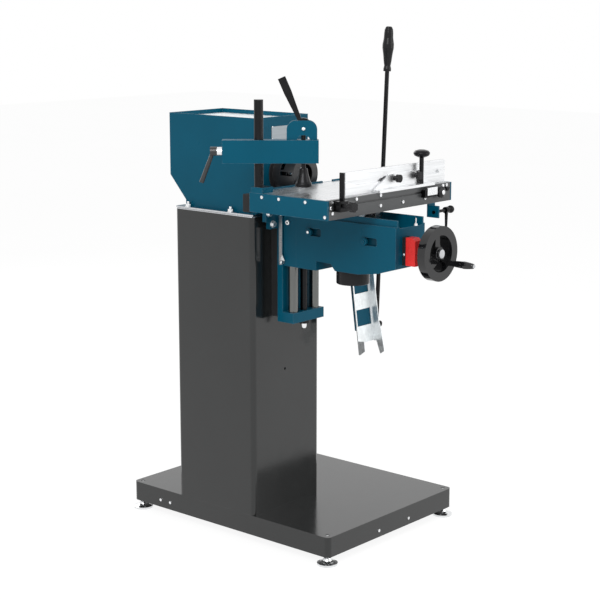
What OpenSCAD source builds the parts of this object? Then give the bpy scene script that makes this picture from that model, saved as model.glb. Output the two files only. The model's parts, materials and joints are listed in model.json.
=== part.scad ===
// Horizontal slot mortiser on a free-standing column.
// +X is the operator's right, +Y points to the back and +Z is up.
// The origin is on the floor below the centre of the base.

/* [Base] */
// Width of the base tray
base_w = 600; // [560:5:660]
// Depth of the base tray
base_d = 800; // [720:5:860]
// Height of the folded tray
base_h = 60; // [45:1:80]
// Sheet thickness of the tray
base_wall = 3; // [2:0.5:5]
// Radius of the tray's four corners
base_corner_r = 15; // [8:1:30]
// Height of a levelling foot from the floor to the tray's rim
foot_h = 27; // [20:1:40]
// Diameter of a levelling foot
foot_d = 60; // [46:1:70]
// Distance from the tray's edges to a foot's stud
foot_inset = 20; // [19:1:34]
// Diameter of a foot's stud
stud_d = 12; // [10:1:16]

/* [Column] */
// Width of the sheet column
col_w = 293; // [280:1:310]
// Depth of the sheet column
col_d = 312; // [290:1:340]
// Height of the column above the tray
col_h = 890; // [800:5:960]
// Sheet thickness of the column
col_wall = 4; // [3:0.5:6]
// Outer bend radius of the column's corners
col_bend_r = 14; // [8:1:24]
// Distance from the base's front edge to the column's front face
col_setback = 284; // [250:1:310]

/* [Motor housing] */
// Width of the motor housing
housing_w = 226; // [200:1:232]
// Depth of the motor housing
housing_d = 344; // [320:1:370]
// Height of the motor housing above its mounting plate
housing_h = 272; // [250:1:300]
// Sheet thickness of the housing
housing_wall = 2.5; // [1.5:0.5:4]
// Depth of the recess above the housing's lid
lid_recess = 12; // [6:1:20]
// Thickness of the motor's mounting plate
motor_plate_t = 5; // [4:0.5:8]
// Height of the spindle above the mounting plate
spindle_h = 109; // [100:1:118]
// Outer diameter of the motor's frame
motor_d = 150; // [130:1:156]
// Length of the motor's frame
motor_len = 170; // [140:1:190]
// Diameter of the motor's shaft
shaft_d = 25; // [19:0.5:30]

/* [Chuck] */
// Outer diameter of the chuck guard
guard_d = 108; // [98:1:116]
// Length of the chuck guard
guard_len = 80; // [76:1:86]
// Sheet thickness of the chuck guard
guard_wall = 2.5; // [1.5:0.5:4]
// Diameter of the two-jaw chuck
chuck_d = 62; // [56:1:70]
// Length of the chuck
chuck_len = 56; // [50:1:62]
// Diameter of the largest bit that the chuck takes
bit_d = 16; // [10:1:20]
// Travel of one jaw
jaw_travel = 4.2; // [2:0.1:4.4]

/* [Slide] */
// Distance from the column's centre line to the machine's centre line
axis_offset = 6.5; // [0:0.5:12]
// Distance between the two guide columns
guide_pitch = 92; // [84:1:96]
// Diameter of a guide column
guide_d = 28; // [22:1:30]
// Distance from the column's front face to the guide columns' plane
guide_reach = 71; // [68:1:80]
// Height of the bottom bracket's underside above the floor
slide_bottom_z = 668; // [640:1:690]
// Height of the top bracket's upper face above the floor
slide_top_z = 1012; // [1006:1:1014]
// Width of the slide's back plate
slide_w = 136; // [130:1:150]
// Diameter of the lift screw
screw_d = 20; // [16:1:24]
// Radial running clearance of every shaft and bush
running_gap = 0.05; // [0.02:0.01:0.08]

/* [Knee] */
// Distance from each carriage guide rod to the knee's outer side
knee_side = 27; // [25:1:31]
// Length of the knee in front of its carrier
knee_len = 355; // [330:1:380]
// Height of the knee's side plates
knee_h = 149; // [140:1:156]
// Height of the knee's underside at rest
knee_z = 833; // [825:1:840]
// Thickness of the knee's plates
knee_wall = 6; // [4:0.5:8]
// Depth of the carrier that runs on the guide columns
carrier_d = 46; // [44:1:48]
// Diameter of the carriage's guide rods
depth_rod_d = 18; // [14:1:20]
// Distance between the carriage's guide rods
depth_rod_pitch = 76; // [72:1:78]
// Diameter of the cap under the knee
cap_d = 94; // [80:1:96]
// Height of the cap under the knee
cap_h = 42; // [34:1:50]

/* [Handwheel] */
// Diameter of the handwheel
wheel_d = 150; // [130:1:160]
// Depth of the handwheel's rim
wheel_rim_d = 24; // [18:1:26]
// Width of the handwheel's rim face
wheel_rim_w = 25; // [18:1:28]
// Thickness of the handwheel's web behind its spokes
wheel_web_t = 5; // [3:0.5:6]
// Height of the handwheel shaft above the knee's underside
wheel_shaft_h = 82; // [78:1:86]
// Distance from the knee's front to the rim's front face
wheel_reach = 103; // [98:1:110]
// Diameter of the handwheel's shaft
wheel_shaft_d = 14; // [12:1:16]
// Radius at which the crank grip stands
crank_r = 60; // [54:1:62]
// Angle of the crank grip at rest
crank_angle = -33; // [-60:1:60]
// Diameter of the crank grip
crank_grip_d = 21; // [18:1:25]
// Length of the crank grip
crank_grip_len = 70; // [60:1:85]
// Number of teeth on each of the two equal bevel gears
gear_teeth = 16; // [14:1:18]
// Module of the bevel gears
gear_module = 2; // [1.8:0.1:2.1]

/* [Table] */
// Width of the table
table_w = 552; // [500:1:600]
// Depth of the table
table_d = 275; // [260:1:300]
// Thickness of the table's top plate
table_t = 12; // [8:1:16]
// Height of the table's face at rest
table_z = 1070; // [1068:1:1075]
// Height of the plates round the table
table_skirt = 52; // [46:1:54]
// Thickness of the plates round the table
skirt_t = 6; // [4:0.5:8]
// Thickness of the front rail
rail_t = 12; // [10:0.5:14]
// Distance from the table's left edge to the machine's centre line
table_left = 276; // [250:1:300]
// Distance from the column's front face to the table's rear edge
table_rear_gap = 115; // [114:1:130]
// Diameter of the table's guide rods
cross_rod_d = 16; // [12:1:18]
// Length of the carriage along its guide rods
carriage_len = 165; // [140:1:168]
// Travel of the table to each side
table_travel = 70; // [40:1:72]
// Travel of the carriage away from the chuck
carriage_travel = 130; // [90:1:132]

/* [Work clamp] */
// Diameter of the clamp's post
post_d = 25; // [20:1:28]
// Length of the clamp's post above its block
post_len = 234; // [200:1:260]
// Height of the block under the post
post_block_h = 16; // [12:1:20]
// Height of the arm's lower face above the table
arm_lift = 81; // [78:1:90]
// Height of the clamp arm
arm_h = 62; // [54:1:66]
// Thickness of the clamp arm across its channel
arm_t = 38; // [36:1:44]
// Sheet thickness of the clamp arm
arm_wall = 3; // [2:0.5:4]
// Length of the arm behind the post
arm_back = 98; // [80:1:110]
// Length of the arm ahead of the post
arm_front = 161; // [150:1:175]
// Angle of the arm to the right of straight ahead of the table's left edge
arm_angle = 49.1; // [40:0.1:60]
// Distance from the post to the presser's rod
presser_reach = 120; // [110:1:126]
// Diameter of the presser's foot
presser_foot_d = 46; // [36:1:50]
// Length of the cam lever above its pivot
cam_lever_len = 147; // [120:1:160]

/* [Fence] */
// Length of the fence
fence_len = 447; // [380:1:470]
// Height of the fence
fence_h = 62; // [50:1:70]
// Thickness of the fence
fence_t = 12; // [8:1:14]
// Distance from the table's left edge to the fence's left end
fence_left = 99; // [92:1:120]
// Diameter of the clamp screw's knob
screw_knob_d = 46; // [34:1:50]
// Height of the clamp screw above the table, with its knob
clamp_screw_h = 102; // [90:1:115]

/* [Hand lever] */
// Diameter of the lever rod
lever_d = 13; // [10:0.5:16]
// Height of the lever's pivot above the floor
pivot_z = 600; // [590:1:610]
// Height of the lever's upper end above the floor
lever_top_z = 1502; // [1450:1:1540]
// Length of the lever's grip
grip_len = 131; // [115:1:140]
// Largest diameter of the lever's grip
grip_d = 34; // [28:1:38]
// Distance from the machine's centre line to the lever
lever_reach = 345; // [342:1:350]
// Angle at which the lever leans to the front at rest
lever_lean = 2.28; // [1.5:0.01:3]

/* [Hidden] */
$fn = 64;
hull_fn = 32;
touch_gap = 0.3;
shank_gap = 0.15;

// Heights of the main levels
base_z = foot_h + base_h;
col_top_z = base_z + col_h;
plate_top_z = col_top_z + motor_plate_t;
housing_top_z = plate_top_z + housing_h;
spindle_z = plate_top_z + spindle_h;

// Planes of the column and the machine's centre line
col_x0 = -base_w / 2;
col_x1 = col_x0 + col_w;
col_y0 = -base_d / 2 + col_setback;
col_y1 = col_y0 + col_d;
axis_x = (col_x0 + col_x1) / 2 - axis_offset;
housing_x0 = col_x0 + 17;
housing_x1 = housing_x0 + housing_w;
housing_y0 = col_y0 + 2;
housing_y1 = housing_y0 + housing_d;
chamfer_bottom_y = col_y1 - 30;
chamfer_bottom_z = plate_top_z + 19;
chamfer_top_z = plate_top_z + 89;
motor_y0 = housing_y0 + 30;
motor_y1 = motor_y0 + motor_len;
rear_shaft_y = motor_y1 + 26;

// Vertical slide
spacer_y0 = col_y0 - 30;
back_plate_t = 20;
plate_y0 = spacer_y0 - back_plate_t;
guide_y = col_y0 - guide_reach;
bracket_h = 30;
bracket_y0 = guide_y - guide_d / 2 - 5;
bracket_z1 = slide_bottom_z + bracket_h;
top_bracket_t = 10;
top_bracket_z0 = slide_top_z - top_bracket_t;
ear_x0 = col_x0 + 24;
ear_z0 = top_bracket_z0 - 62;
ear_d = 14;

// Knee
carrier_y1 = guide_y + guide_d / 2 + 5;
carrier_y0 = carrier_y1 - carrier_d;
carrier_w = guide_pitch + guide_d + 8;
carrier_top_z = knee_z + knee_h;
knee_w = depth_rod_pitch + 2 * knee_side;
knee_x0 = axis_x - knee_w / 2;
knee_x1 = axis_x + knee_w / 2;
knee_y1 = carrier_y0;
knee_y0 = knee_y1 - knee_len;
rail_top_z = carrier_top_z + 18;
shaft_z = knee_z + wheel_shaft_h;
depth_rod_z = shaft_z + 33;
knee_nose_z = knee_z + 35;
notch_depth = 25;
notch_floor = 4;
cap_x = axis_x;
cap_y = knee_y0 + knee_len - 156;
cap_seat_z = knee_z + 7;

// Lift gears
pitch_r = gear_module * gear_teeth / 2;
gear_face = 6;
tooth_w = gear_module;
tooth_root = gear_module * 0.8;
tooth_tip = gear_module * 0.65;
gear_pocket_r = pitch_r + 6.5;
gear_top_z = shaft_z + pitch_r + 14;
pocket_z1 = gear_top_z + touch_gap;

// Handwheel
wheel_y0 = knee_y0 - wheel_reach;
wheel_y1 = wheel_y0 + wheel_rim_d;
hub_y0 = wheel_y0 + 4;
hub_y1 = wheel_y0 + 32;
hub_d = 36;
grip_x = axis_x + crank_r * cos(crank_angle);
grip_z = shaft_z + crank_r * sin(crank_angle);

// Switch on the knee's front plate
switch_w = 28;
switch_h = 77;
switch_x0 = axis_x - 36;
switch_x1 = switch_x0 + switch_w;
switch_z0 = shaft_z - 38;
switch_z1 = switch_z0 + switch_h;
switch_base_t = 11;
switch_flap_d = 32;
switch_y1 = knee_y0;
switch_y0 = knee_y0 - switch_base_t;
flap_wall = 2;
flap_y0 = switch_y0 - switch_flap_d;
button_d = 16;
button_x = (switch_x0 + switch_x1) / 2;
start_z = switch_z0 + 54;
stop_z = switch_z0 + 24;

// Table and carriage
table_x0 = axis_x - table_left;
table_x1 = table_x0 + table_w;
table_y1 = col_y0 - table_rear_gap;
table_y0 = table_y1 - table_d;
skirt_z0 = table_z - table_skirt;
rail_y1 = table_y0 + rail_t;
carriage_z0 = rail_top_z + 3;
carriage_t = 8;
carriage_w = 118;
carriage_y1 = table_y1 - 34;
carriage_y0 = carriage_y1 - carriage_len;
block_w = 26;
block_len = 36;
cross_z = carriage_z0 + carriage_t + 22;
cross_rod_y = [carriage_y1 - 24, carriage_y0 + 24];
depth_rod_x = [axis_x - depth_rod_pitch / 2, axis_x + depth_rod_pitch / 2];
guide_x = [axis_x - guide_pitch / 2, axis_x + guide_pitch / 2];

// Work clamp, in a frame turned about its post
post_x = table_x0 + post_d / 2;
post_y = table_y1 - post_d / 2 - 11;
post_z0 = table_z + post_block_h;
arm_z0 = table_z + arm_lift;
arm_z1 = arm_z0 + arm_h;
ear_u0 = presser_reach - 45;
ear_u1 = presser_reach + 37;
ear_h = 52;
ear_round = 25;
ear_t = 4;
ear_gap = 16;
cam_u = presser_reach;
cam_z = arm_z1 + 30;
cam_r = 22;
cam_offset = 6.5;
cam_t = 12;
cam_lean = 23.4;
rod_top_z = cam_z - cam_r + cam_offset - touch_gap;
presser_rod_d = 12;
presser_z0 = table_z + 16;

// Fence
fence_x0 = table_x0 + fence_left;
fence_x1 = fence_x0 + fence_len;
fence_y1 = table_y0 + 32;
fence_y0 = fence_y1 - fence_t;
fence_z0 = table_z + 2;
bracket_t = 6;
bracket_fx0 = fence_x0 + 112;
bracket_fx1 = bracket_fx0 + 250;
bracket_ftop0 = bracket_fx0 + 68;
bracket_ftop1 = bracket_fx0 + 218;
knob_x = [bracket_fx0 + 92, bracket_fx0 + 186];
knob_z = fence_z0 + 30;
clamp_screw_x = bracket_fx0 + 205;
clamp_screw_y = table_y0 + 6.5;
clamp_screw_d = 12.5;
fence_seat_z = table_z + 8;

// Stop on the front rail
stop_x0 = table_x0 + 24;
stop_w = 32;
stop_block_d = 24;
stop_z0 = table_z - 30;
stop_bar_x = stop_x0 + 19;
stop_knob_x = stop_x0 + 12;
stop_knob_z = table_z - 14;

// Hand lever and its hanger
lever_x = axis_x + lever_reach;
lever_y = table_y1 + 45;
eye_z = skirt_z0 + 14;
lever_eye_y = lever_y - (eye_z - pivot_z) * tan(lever_lean);
hanger_x1 = lever_x - 45;
hanger_w = 80;
hanger_x0 = hanger_x1 - hanger_w;
hanger_top_z = knee_z - 8;
hanger_y = table_y1 + 54;
hanger_tilt = 7.5;
hanger_t = 3;
axle_d = 16;
gimbal_w = 30;
eye_pin_d = 10;

// Lock lever under the table's right front corner
lock_y = table_y0 - 19;
lock_shaft_d = 9;
lock_z = skirt_z0 - 22;
lock_bracket_x = table_x1 - 108;

// Colours of the finishes
petrol = [0.02, 0.30, 0.38];
gloss_black = [0.06, 0.06, 0.065];
satin_black = [0.10, 0.10, 0.11];
bright_steel = [0.75, 0.76, 0.78];
zinc = [0.85, 0.86, 0.88];
rail_grey = [0.22, 0.22, 0.23];
signal_red = [0.85, 0.12, 0.10];

// A box between two limits on each axis
module span(x, y, z) {
    translate([x[0], y[0], z[0]]) cube([x[1] - x[0], y[1] - y[0], z[1] - z[0]]);
}

// A rod along X, Y or Z between two stations
module rod_x(d, x0, x1, y, z) {
    translate([x0, y, z]) rotate([0, 90, 0]) cylinder(d = d, h = x1 - x0);
}
module rod_y(d, y0, y1, x, z) {
    translate([x, y1, z]) rotate([90, 0, 0]) cylinder(d = d, h = y1 - y0);
}
module rod_z(d, z0, z1, x, y) {
    translate([x, y, z0]) cylinder(d = d, h = z1 - z0);
}

// Turns +Z so that it points out of a face of the machine
module out_left() { rotate([0, -90, 0]) children(); }
module out_right() { rotate([0, 90, 0]) children(); }
module out_front() { rotate([90, 0, 0]) children(); }

// A plate with round vertical corners
module round_plate(x, y, z, r) {
    span([x[0] + r, x[1] - r], y, z);
    span(x, [y[0] + r, y[1] - r], z);
    for (cx = [x[0] + r, x[1] - r], cy = [y[0] + r, y[1] - r])
        rod_z(2 * r, z[0], z[1], cx, cy);
}

// A hexagon-head bolt whose head stands on z = 0, with its shank below
module hex_bolt(d, shank) {
    cylinder(d = d * 1.9, h = d * 0.65, $fn = 6);
    translate([0, 0, -shank]) cylinder(d = d, h = shank);
}

// A round-head screw whose head stands on z = 0, with its shank below
module round_screw(d, shank) {
    difference() {
        cylinder(d = d * 1.8, h = d * 0.6);
        translate([0, 0, d * 0.3]) cylinder(d = d * 0.7, h = d, $fn = 6);
    }
    translate([0, 0, -shank]) cylinder(d = d, h = shank);
}

// The hole that takes a shank
module shank_hole(d, shank) {
    translate([0, 0, -shank - 1]) cylinder(d = d + 2 * shank_gap, h = shank + 2);
}

// Places of the fasteners
module at_feet() {
    for (sx = [-1, 1], sy = [-1, 1])
        translate([sx * (base_w / 2 - foot_inset), sy * (base_d / 2 - foot_inset), 0]) children();
}
module at_base_screws() {
    for (y = [col_y1 + 40, col_y1 + 82])
        translate([-base_w / 2, y, foot_h + 24]) out_left() children();
    for (x = [-69, 75])
        translate([x, -base_d / 2, foot_h + 21]) out_front() children();
}
module at_housing_bolts() {
    for (y = [col_y0 + 92, col_y1 - 49])
        translate([col_x0 + 8, y, plate_top_z]) children();
}
module at_housing_bolts_right() {
    for (y = [col_y0 + 92, col_y1 - 49])
        translate([housing_x1 + 10, y, plate_top_z]) children();
}
module at_guard_screws() {
    for (a = [45, 225])
        translate([axis_x + (guard_d / 2 + 7) * cos(a), housing_y0 - guard_wall,
                   spindle_z + (guard_d / 2 + 7) * sin(a)]) out_front() children();
}
module at_ear_bolts() {
    translate([ear_x0 + 11, spacer_y0, ear_z0 + 46]) out_front() children();
    translate([ear_x0 + 27, spacer_y0, ear_z0 + 14]) out_front() children();
}
module at_bracket_bolts() {
    for (x = guide_x)
        translate([x, guide_y, slide_bottom_z]) rotate([180, 0, 0]) children();
}
module at_knee_bolts() {
    for (z = [knee_z + 22, knee_z + 88], x = [knee_x0 + 22, knee_x1 - 22])
        translate([x, knee_y1 - knee_wall, z]) out_front() children();
}
module at_side_plugs() {
    for (p = [[knee_y1 - 52, carrier_top_z - 41], [knee_y1 - 250, carrier_top_z - 47]])
        translate([knee_x0, p[0], p[1]]) out_left() children();
}
module at_left_skirt_screws() {
    for (y = [table_y1 - 47, table_y1 - 108, table_y1 - 201])
        translate([table_x0, y, table_z - 9]) out_left() children();
    translate([table_x0, table_y0 + 7, skirt_z0 + 9]) out_left() children();
}
module at_right_skirt_screws() {
    for (y = [table_y1 - 47, table_y1 - 108, table_y1 - 201])
        translate([table_x1, y, table_z - 9]) out_right() children();
}
module at_rail_screws() {
    for (z = [table_z - 6, skirt_z0 + 18])
        translate([table_x0 + 18, table_y0, z]) out_front() children();
    for (x = [table_x0 + 222, table_x0 + 322, table_x0 + 424])
        translate([x, table_y0, skirt_z0 + 18]) out_front() children();
    for (x = [table_x0 + 118, table_x0 + 222, table_x1 - 26])
        translate([x, table_y0, table_z - 6]) out_front() children();
}

// Base
module base_tray() {
    color(gloss_black) difference() {
        union() {
            difference() {
                round_plate([-base_w / 2, base_w / 2], [-base_d / 2, base_d / 2], [foot_h, base_z],
                    base_corner_r);
                round_plate([-base_w / 2 + base_wall, base_w / 2 - base_wall],
                    [-base_d / 2 + base_wall, base_d / 2 - base_wall],
                    [foot_h - 1, base_z - base_wall], base_corner_r - base_wall);
            }
            at_feet() translate([0, 0, base_z - base_wall - 22]) cylinder(d = stud_d + 12, h = 22);
        }
        at_feet() translate([0, 0, foot_h]) cylinder(d = stud_d + 2 * running_gap, h = base_h + 1);
        at_base_screws() shank_hole(5, base_wall);
    }
}

module levelling_feet() {
    color(zinc) at_feet() {
        difference() {
            rotate_extrude() polygon([
                [0, 0], [foot_d / 2, 0], [foot_d / 2, 6], [foot_d / 2 - 9, 9],
                [foot_d / 2 - 16, 13], [stud_d / 2 + 4, 20], [0, 20]
            ]);
            translate([0, 0, 8]) cylinder(d = stud_d + 2 * running_gap, h = 20);
        }
        translate([0, 0, 8]) cylinder(d = stud_d, h = base_z - 8 - 1.5);
        translate([0, 0, base_z - base_wall - 22 - 9]) difference() {
            cylinder(d = stud_d * 1.8, h = 9, $fn = 6);
            translate([0, 0, -1]) cylinder(d = stud_d + 2 * running_gap, h = 11);
        }
    }
}

// Column
module column() {
    color(gloss_black) difference() {
        round_plate([col_x0, col_x1], [col_y0, col_y1], [base_z, col_top_z], col_bend_r);
        round_plate([col_x0 + col_wall, col_x1 - col_wall], [col_y0 + col_wall, col_y1 - col_wall],
            [base_z - 1, col_top_z - col_wall], col_bend_r - col_wall);
        rod_z(60, col_top_z - 2 * col_wall, col_top_z + 1, axis_x, col_y1 - 70);
        rod_y(8, col_y0 - 1, col_y0 + col_wall + 1, axis_x - 2, base_z + 423);
        rod_y(20, col_y1 - col_wall - 1, col_y1 + 1, axis_x, base_z + 60);
        at_housing_bolts() shank_hole(8, motor_plate_t + col_wall);
        at_housing_bolts_right() shank_hole(8, motor_plate_t + col_wall);
    }
}

// Motor plate, housing and lid
module motor_plate() {
    color(petrol) difference() {
        round_plate([col_x0 + 1, col_x1 - 5], [col_y0 + 1, col_y1 - 2], [col_top_z, plate_top_z], 4);
        rod_z(60, col_top_z - 1, plate_top_z + 1, axis_x, col_y1 - 70);
        at_housing_bolts() shank_hole(8, motor_plate_t);
        at_housing_bolts_right() shank_hole(8, motor_plate_t);
    }
}

// Side outline of the housing, grown inwards by a wall
module housing_outline(inset) {
    polygon([
        [housing_y0 + inset, plate_top_z], [chamfer_bottom_y - inset, plate_top_z],
        [chamfer_bottom_y - inset, chamfer_bottom_z + inset],
        [housing_y1 - inset, chamfer_top_z + inset], [housing_y1 - inset, housing_top_z + 1],
        [housing_y0 + inset, housing_top_z + 1]
    ]);
}

module motor_housing() {
    color(petrol) difference() {
        intersection() {
            translate([housing_x0, 0, 0]) rotate([90, 0, 90])
                linear_extrude(housing_w) housing_outline(0);
            span([housing_x0 - 1, housing_x1 + 1], [housing_y0 - 1, housing_y1 + 1],
                [plate_top_z, housing_top_z]);
        }
        translate([housing_x0 + housing_wall, 0, -1]) rotate([90, 0, 90])
            linear_extrude(housing_w - 2 * housing_wall) housing_outline(housing_wall);
        translate([housing_x0 + housing_wall, 0, 1.5]) rotate([90, 0, 90])
            linear_extrude(housing_w - 2 * housing_wall) housing_outline(housing_wall);
        rod_y(chuck_d + 14, housing_y0 - 1, housing_y0 + housing_wall + 1, axis_x, spindle_z);
        at_guard_screws() shank_hole(5, guard_wall + housing_wall);
        for (i = [0 : 5])
            span([axis_x - 60, axis_x + 60], [housing_y1 - housing_wall - 1, housing_y1 + 1],
                [spindle_z + 12 + 14 * i, spindle_z + 18 + 14 * i]);
    }
}

module housing_lid() {
    color(petrol)
        span([housing_x0 + housing_wall + touch_gap, housing_x1 - housing_wall - touch_gap],
            [housing_y0 + housing_wall + touch_gap, housing_y1 - housing_wall - touch_gap],
            [housing_top_z - lid_recess - housing_wall, housing_top_z - lid_recess]);
}

// Motor: finned frame on two feet, end shields and fan cover
module motor_frame() {
    shield_t = 12;
    color(rail_grey) {
        difference() {
            union() {
                rod_y(motor_d, motor_y0 + shield_t, motor_y1 - shield_t, axis_x, spindle_z);
                for (a = [0 : 15 : 345])
                    translate([axis_x, 0, spindle_z]) rotate([0, a, 0])
                        span([-1.5, 1.5], [motor_y0 + shield_t + 8, motor_y1 - shield_t - 8],
                            [motor_d / 2 - 2, motor_d / 2 + 5]);
                for (s = [-1, 1])
                    span([axis_x + s * 50 - 14, axis_x + s * 50 + 14],
                        [motor_y0 + 24, motor_y1 - 24], [plate_top_z, spindle_z - 45]);
            }
            rod_y(motor_d - 14, motor_y0, motor_y1, axis_x, spindle_z);
        }
        difference() {
            rod_y(motor_d - 14.2, motor_y0 + 34, motor_y1 - 34, axis_x, spindle_z);
            rod_y(86, motor_y0, motor_y1, axis_x, spindle_z);
        }
        for (y = [motor_y0, motor_y1 - shield_t])
            difference() {
                rod_y(motor_d, y, y + shield_t, axis_x, spindle_z);
                rod_y(52, y - 1, y + shield_t + 1, axis_x, spindle_z);
            }
        difference() {
            rod_y(motor_d, motor_y1, motor_y1 + 36, axis_x, spindle_z);
            rod_y(motor_d - 4, motor_y1 - 1, motor_y1 + 34, axis_x, spindle_z);
            for (r = [18, 34, 50], a = [0 : 45 : 315])
                translate([axis_x, 0, spindle_z]) rotate([0, a, 0])
                    rod_y(8, motor_y1 + 30, motor_y1 + 40, r, 0);
        }
    }
}

module spindle_bearings() {
    color(bright_steel)
        for (y = [motor_y0, motor_y1 - 12])
            difference() {
                rod_y(52 - 2 * running_gap, y, y + 12, axis_x, spindle_z);
                rod_y(shaft_d + 2 * running_gap, y - 1, y + 13, axis_x, spindle_z);
            }
}

module rotor_shaft() {
    color(bright_steel) {
        rod_y(shaft_d, housing_y0 - 8, rear_shaft_y, axis_x, spindle_z);
        difference() {
            rod_y(84, motor_y0 + 34, motor_y1 - 34, axis_x, spindle_z);
            rod_y(shaft_d, motor_y0, motor_y1, axis_x, spindle_z);
        }
    }
}

module cooling_fan() {
    fan_y0 = motor_y1 + 5;
    color(satin_black) difference() {
        union() {
            rod_y(44, fan_y0, rear_shaft_y, axis_x, spindle_z);
            for (a = [0 : 60 : 300])
                translate([axis_x, 0, spindle_z]) rotate([0, a, 0])
                    span([-1.5, 1.5], [fan_y0, rear_shaft_y], [20, motor_d / 2 - 9]);
        }
        rod_y(shaft_d, fan_y0 - 1, rear_shaft_y + 1, axis_x, spindle_z);
    }
}

// Two-jaw chuck and its guard
chuck_y1 = housing_y0 - 8;
chuck_y0 = chuck_y1 - chuck_len;
jaw_slot_h = 22;
jaw_face = 4.5;
jaw_y1 = chuck_y0 + 40;

module chuck_body() {
    color(bright_steel) difference() {
        union() {
            rod_y(chuck_d, chuck_y0 + 10, chuck_y1, axis_x, spindle_z);
            translate([axis_x, chuck_y0 + 10, spindle_z]) rotate([90, 0, 0])
                cylinder(d1 = chuck_d, d2 = chuck_d - 12, h = 10);
        }
        span([axis_x - 26, axis_x + 26], [chuck_y0 - 1, jaw_y1 + touch_gap],
            [spindle_z - jaw_slot_h / 2, spindle_z + jaw_slot_h / 2]);
        rod_x(10, axis_x - chuck_d, axis_x + chuck_d, chuck_y0 + 28, spindle_z);
    }
}

module chuck_jaw(side) {
    color(bright_steel) difference() {
        intersection() {
            span([axis_x - 25, axis_x + 25], [chuck_y0, jaw_y1],
                [spindle_z - jaw_slot_h / 2 + 0.1, spindle_z + jaw_slot_h / 2 - 0.1]);
            span([axis_x + (side > 0 ? jaw_face : -20), axis_x + (side > 0 ? 20 : -jaw_face)],
                [chuck_y0, jaw_y1], [spindle_z - chuck_d, spindle_z + chuck_d]);
        }
        rod_y(bit_d, chuck_y0 - 1, jaw_y1 + 1, axis_x, spindle_z);
    }
}
module chuck_jaw_left() { chuck_jaw(-1); }
module chuck_jaw_right() { chuck_jaw(1); }

module chuck_guard() {
    guard_y1 = housing_y0;
    guard_y0 = guard_y1 - guard_len;
    color(satin_black) difference() {
        union() {
            rod_y(guard_d, guard_y0, guard_y1, axis_x, spindle_z);
            rod_y(guard_d + 28, guard_y1 - guard_wall, guard_y1, axis_x, spindle_z);
        }
        rod_y(guard_d - 2 * guard_wall, guard_y0 + guard_wall, guard_y1 + 1, axis_x, spindle_z);
        rod_y(chuck_d - 2, guard_y0 - 1, guard_y0 + guard_wall + 1, axis_x, spindle_z);
        translate([axis_x, chuck_y0 + 28, spindle_z]) rotate([0, -62, 0])
            span([-11, 11], [-7, 7], [guard_d / 2 - 8, guard_d / 2 + 4]);
        at_guard_screws() shank_hole(5, guard_wall);
        span([axis_x - guard_d, axis_x + guard_d], [guard_y1 - guard_wall - 1, guard_y1 + 1],
            [plate_top_z - 60, spindle_z - guard_d / 2 - 4]);
    }
}

// Vertical slide on the column's front
module slide_spacer() {
    color(satin_black)
        span([axis_x - slide_w / 2 + 8, axis_x + slide_w / 2 - 8], [spacer_y0, col_y0],
            [slide_bottom_z + 12, top_bracket_z0 - 28]);
}

module slide_plate() {
    color(petrol) {
        difference() {
            union() {
                span([axis_x - slide_w / 2, axis_x + slide_w / 2], [plate_y0, spacer_y0],
                    [slide_bottom_z, top_bracket_z0]);
                span([axis_x - slide_w / 2, axis_x + slide_w / 2], [bracket_y0, plate_y0],
                    [slide_bottom_z, bracket_z1]);
                span([ear_x0, axis_x - slide_w / 2 + 8], [spacer_y0, spacer_y0 + ear_d],
                    [ear_z0 + 22, top_bracket_z0]);
                span([ear_x0 + 16, axis_x - slide_w / 2 + 8], [spacer_y0, spacer_y0 + ear_d],
                    [ear_z0, ear_z0 + 22]);
            }
            for (x = guide_x)
                rod_z(guide_d + 2 * running_gap, slide_bottom_z + 8, bracket_z1 + 1, x, guide_y);
            rod_z(screw_d + 2 * running_gap, slide_bottom_z - 1, bracket_z1 + 1, axis_x, guide_y);
            at_bracket_bolts() shank_hole(6, 8);
            at_ear_bolts() shank_hole(8, ear_d);
        }
    }
}

module slide_top_bracket() {
    color(bright_steel) difference() {
        union() {
            span([axis_x - slide_w / 2, axis_x + slide_w / 2], [bracket_y0, spacer_y0],
                [top_bracket_z0, slide_top_z]);
            span([ear_x0, axis_x - slide_w / 2 + 8], [plate_y0 - 2, spacer_y0 + ear_d],
                [top_bracket_z0, slide_top_z]);
        }
        rod_z(screw_d + 2 * running_gap, top_bracket_z0 - 1, slide_top_z - 4, axis_x, guide_y);
    }
}

module guide_columns() {
    color(bright_steel) for (x = guide_x) difference() {
        rod_z(guide_d, slide_bottom_z + 8, top_bracket_z0, x, guide_y);
        rod_z(6 + 2 * shank_gap, slide_bottom_z + 7, slide_bottom_z + 22, x, guide_y);
    }
}

module lift_screw() {
    color(bright_steel) {
        rod_z(screw_d, slide_bottom_z - 10, slide_top_z - 4, axis_x, guide_y);
        rod_z(11, slide_bottom_z - 27, slide_bottom_z - 10, axis_x, guide_y);
        translate([axis_x, guide_y, slide_bottom_z - 10]) difference() {
            cylinder(d = 30, h = 10, $fn = 6);
            translate([0, 0, -1]) cylinder(d = screw_d, h = 12);
        }
    }
}

module height_scale() {
    color(bright_steel)
        span([axis_x - slide_w / 2 - 1.5, axis_x - slide_w / 2], [plate_y0 + 1, plate_y0 + 13],
            [knee_z + 3, top_bracket_z0 - 16]);
}

module frame_screws() {
    color(zinc) {
        at_base_screws() round_screw(5, base_wall);
        at_housing_bolts() hex_bolt(8, motor_plate_t + col_wall);
        at_housing_bolts_right() hex_bolt(8, motor_plate_t + col_wall);
        at_guard_screws() round_screw(5, guard_wall + housing_wall);
        at_ear_bolts() hex_bolt(8, ear_d);
        at_bracket_bolts() hex_bolt(6, 20);
    }
}

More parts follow.
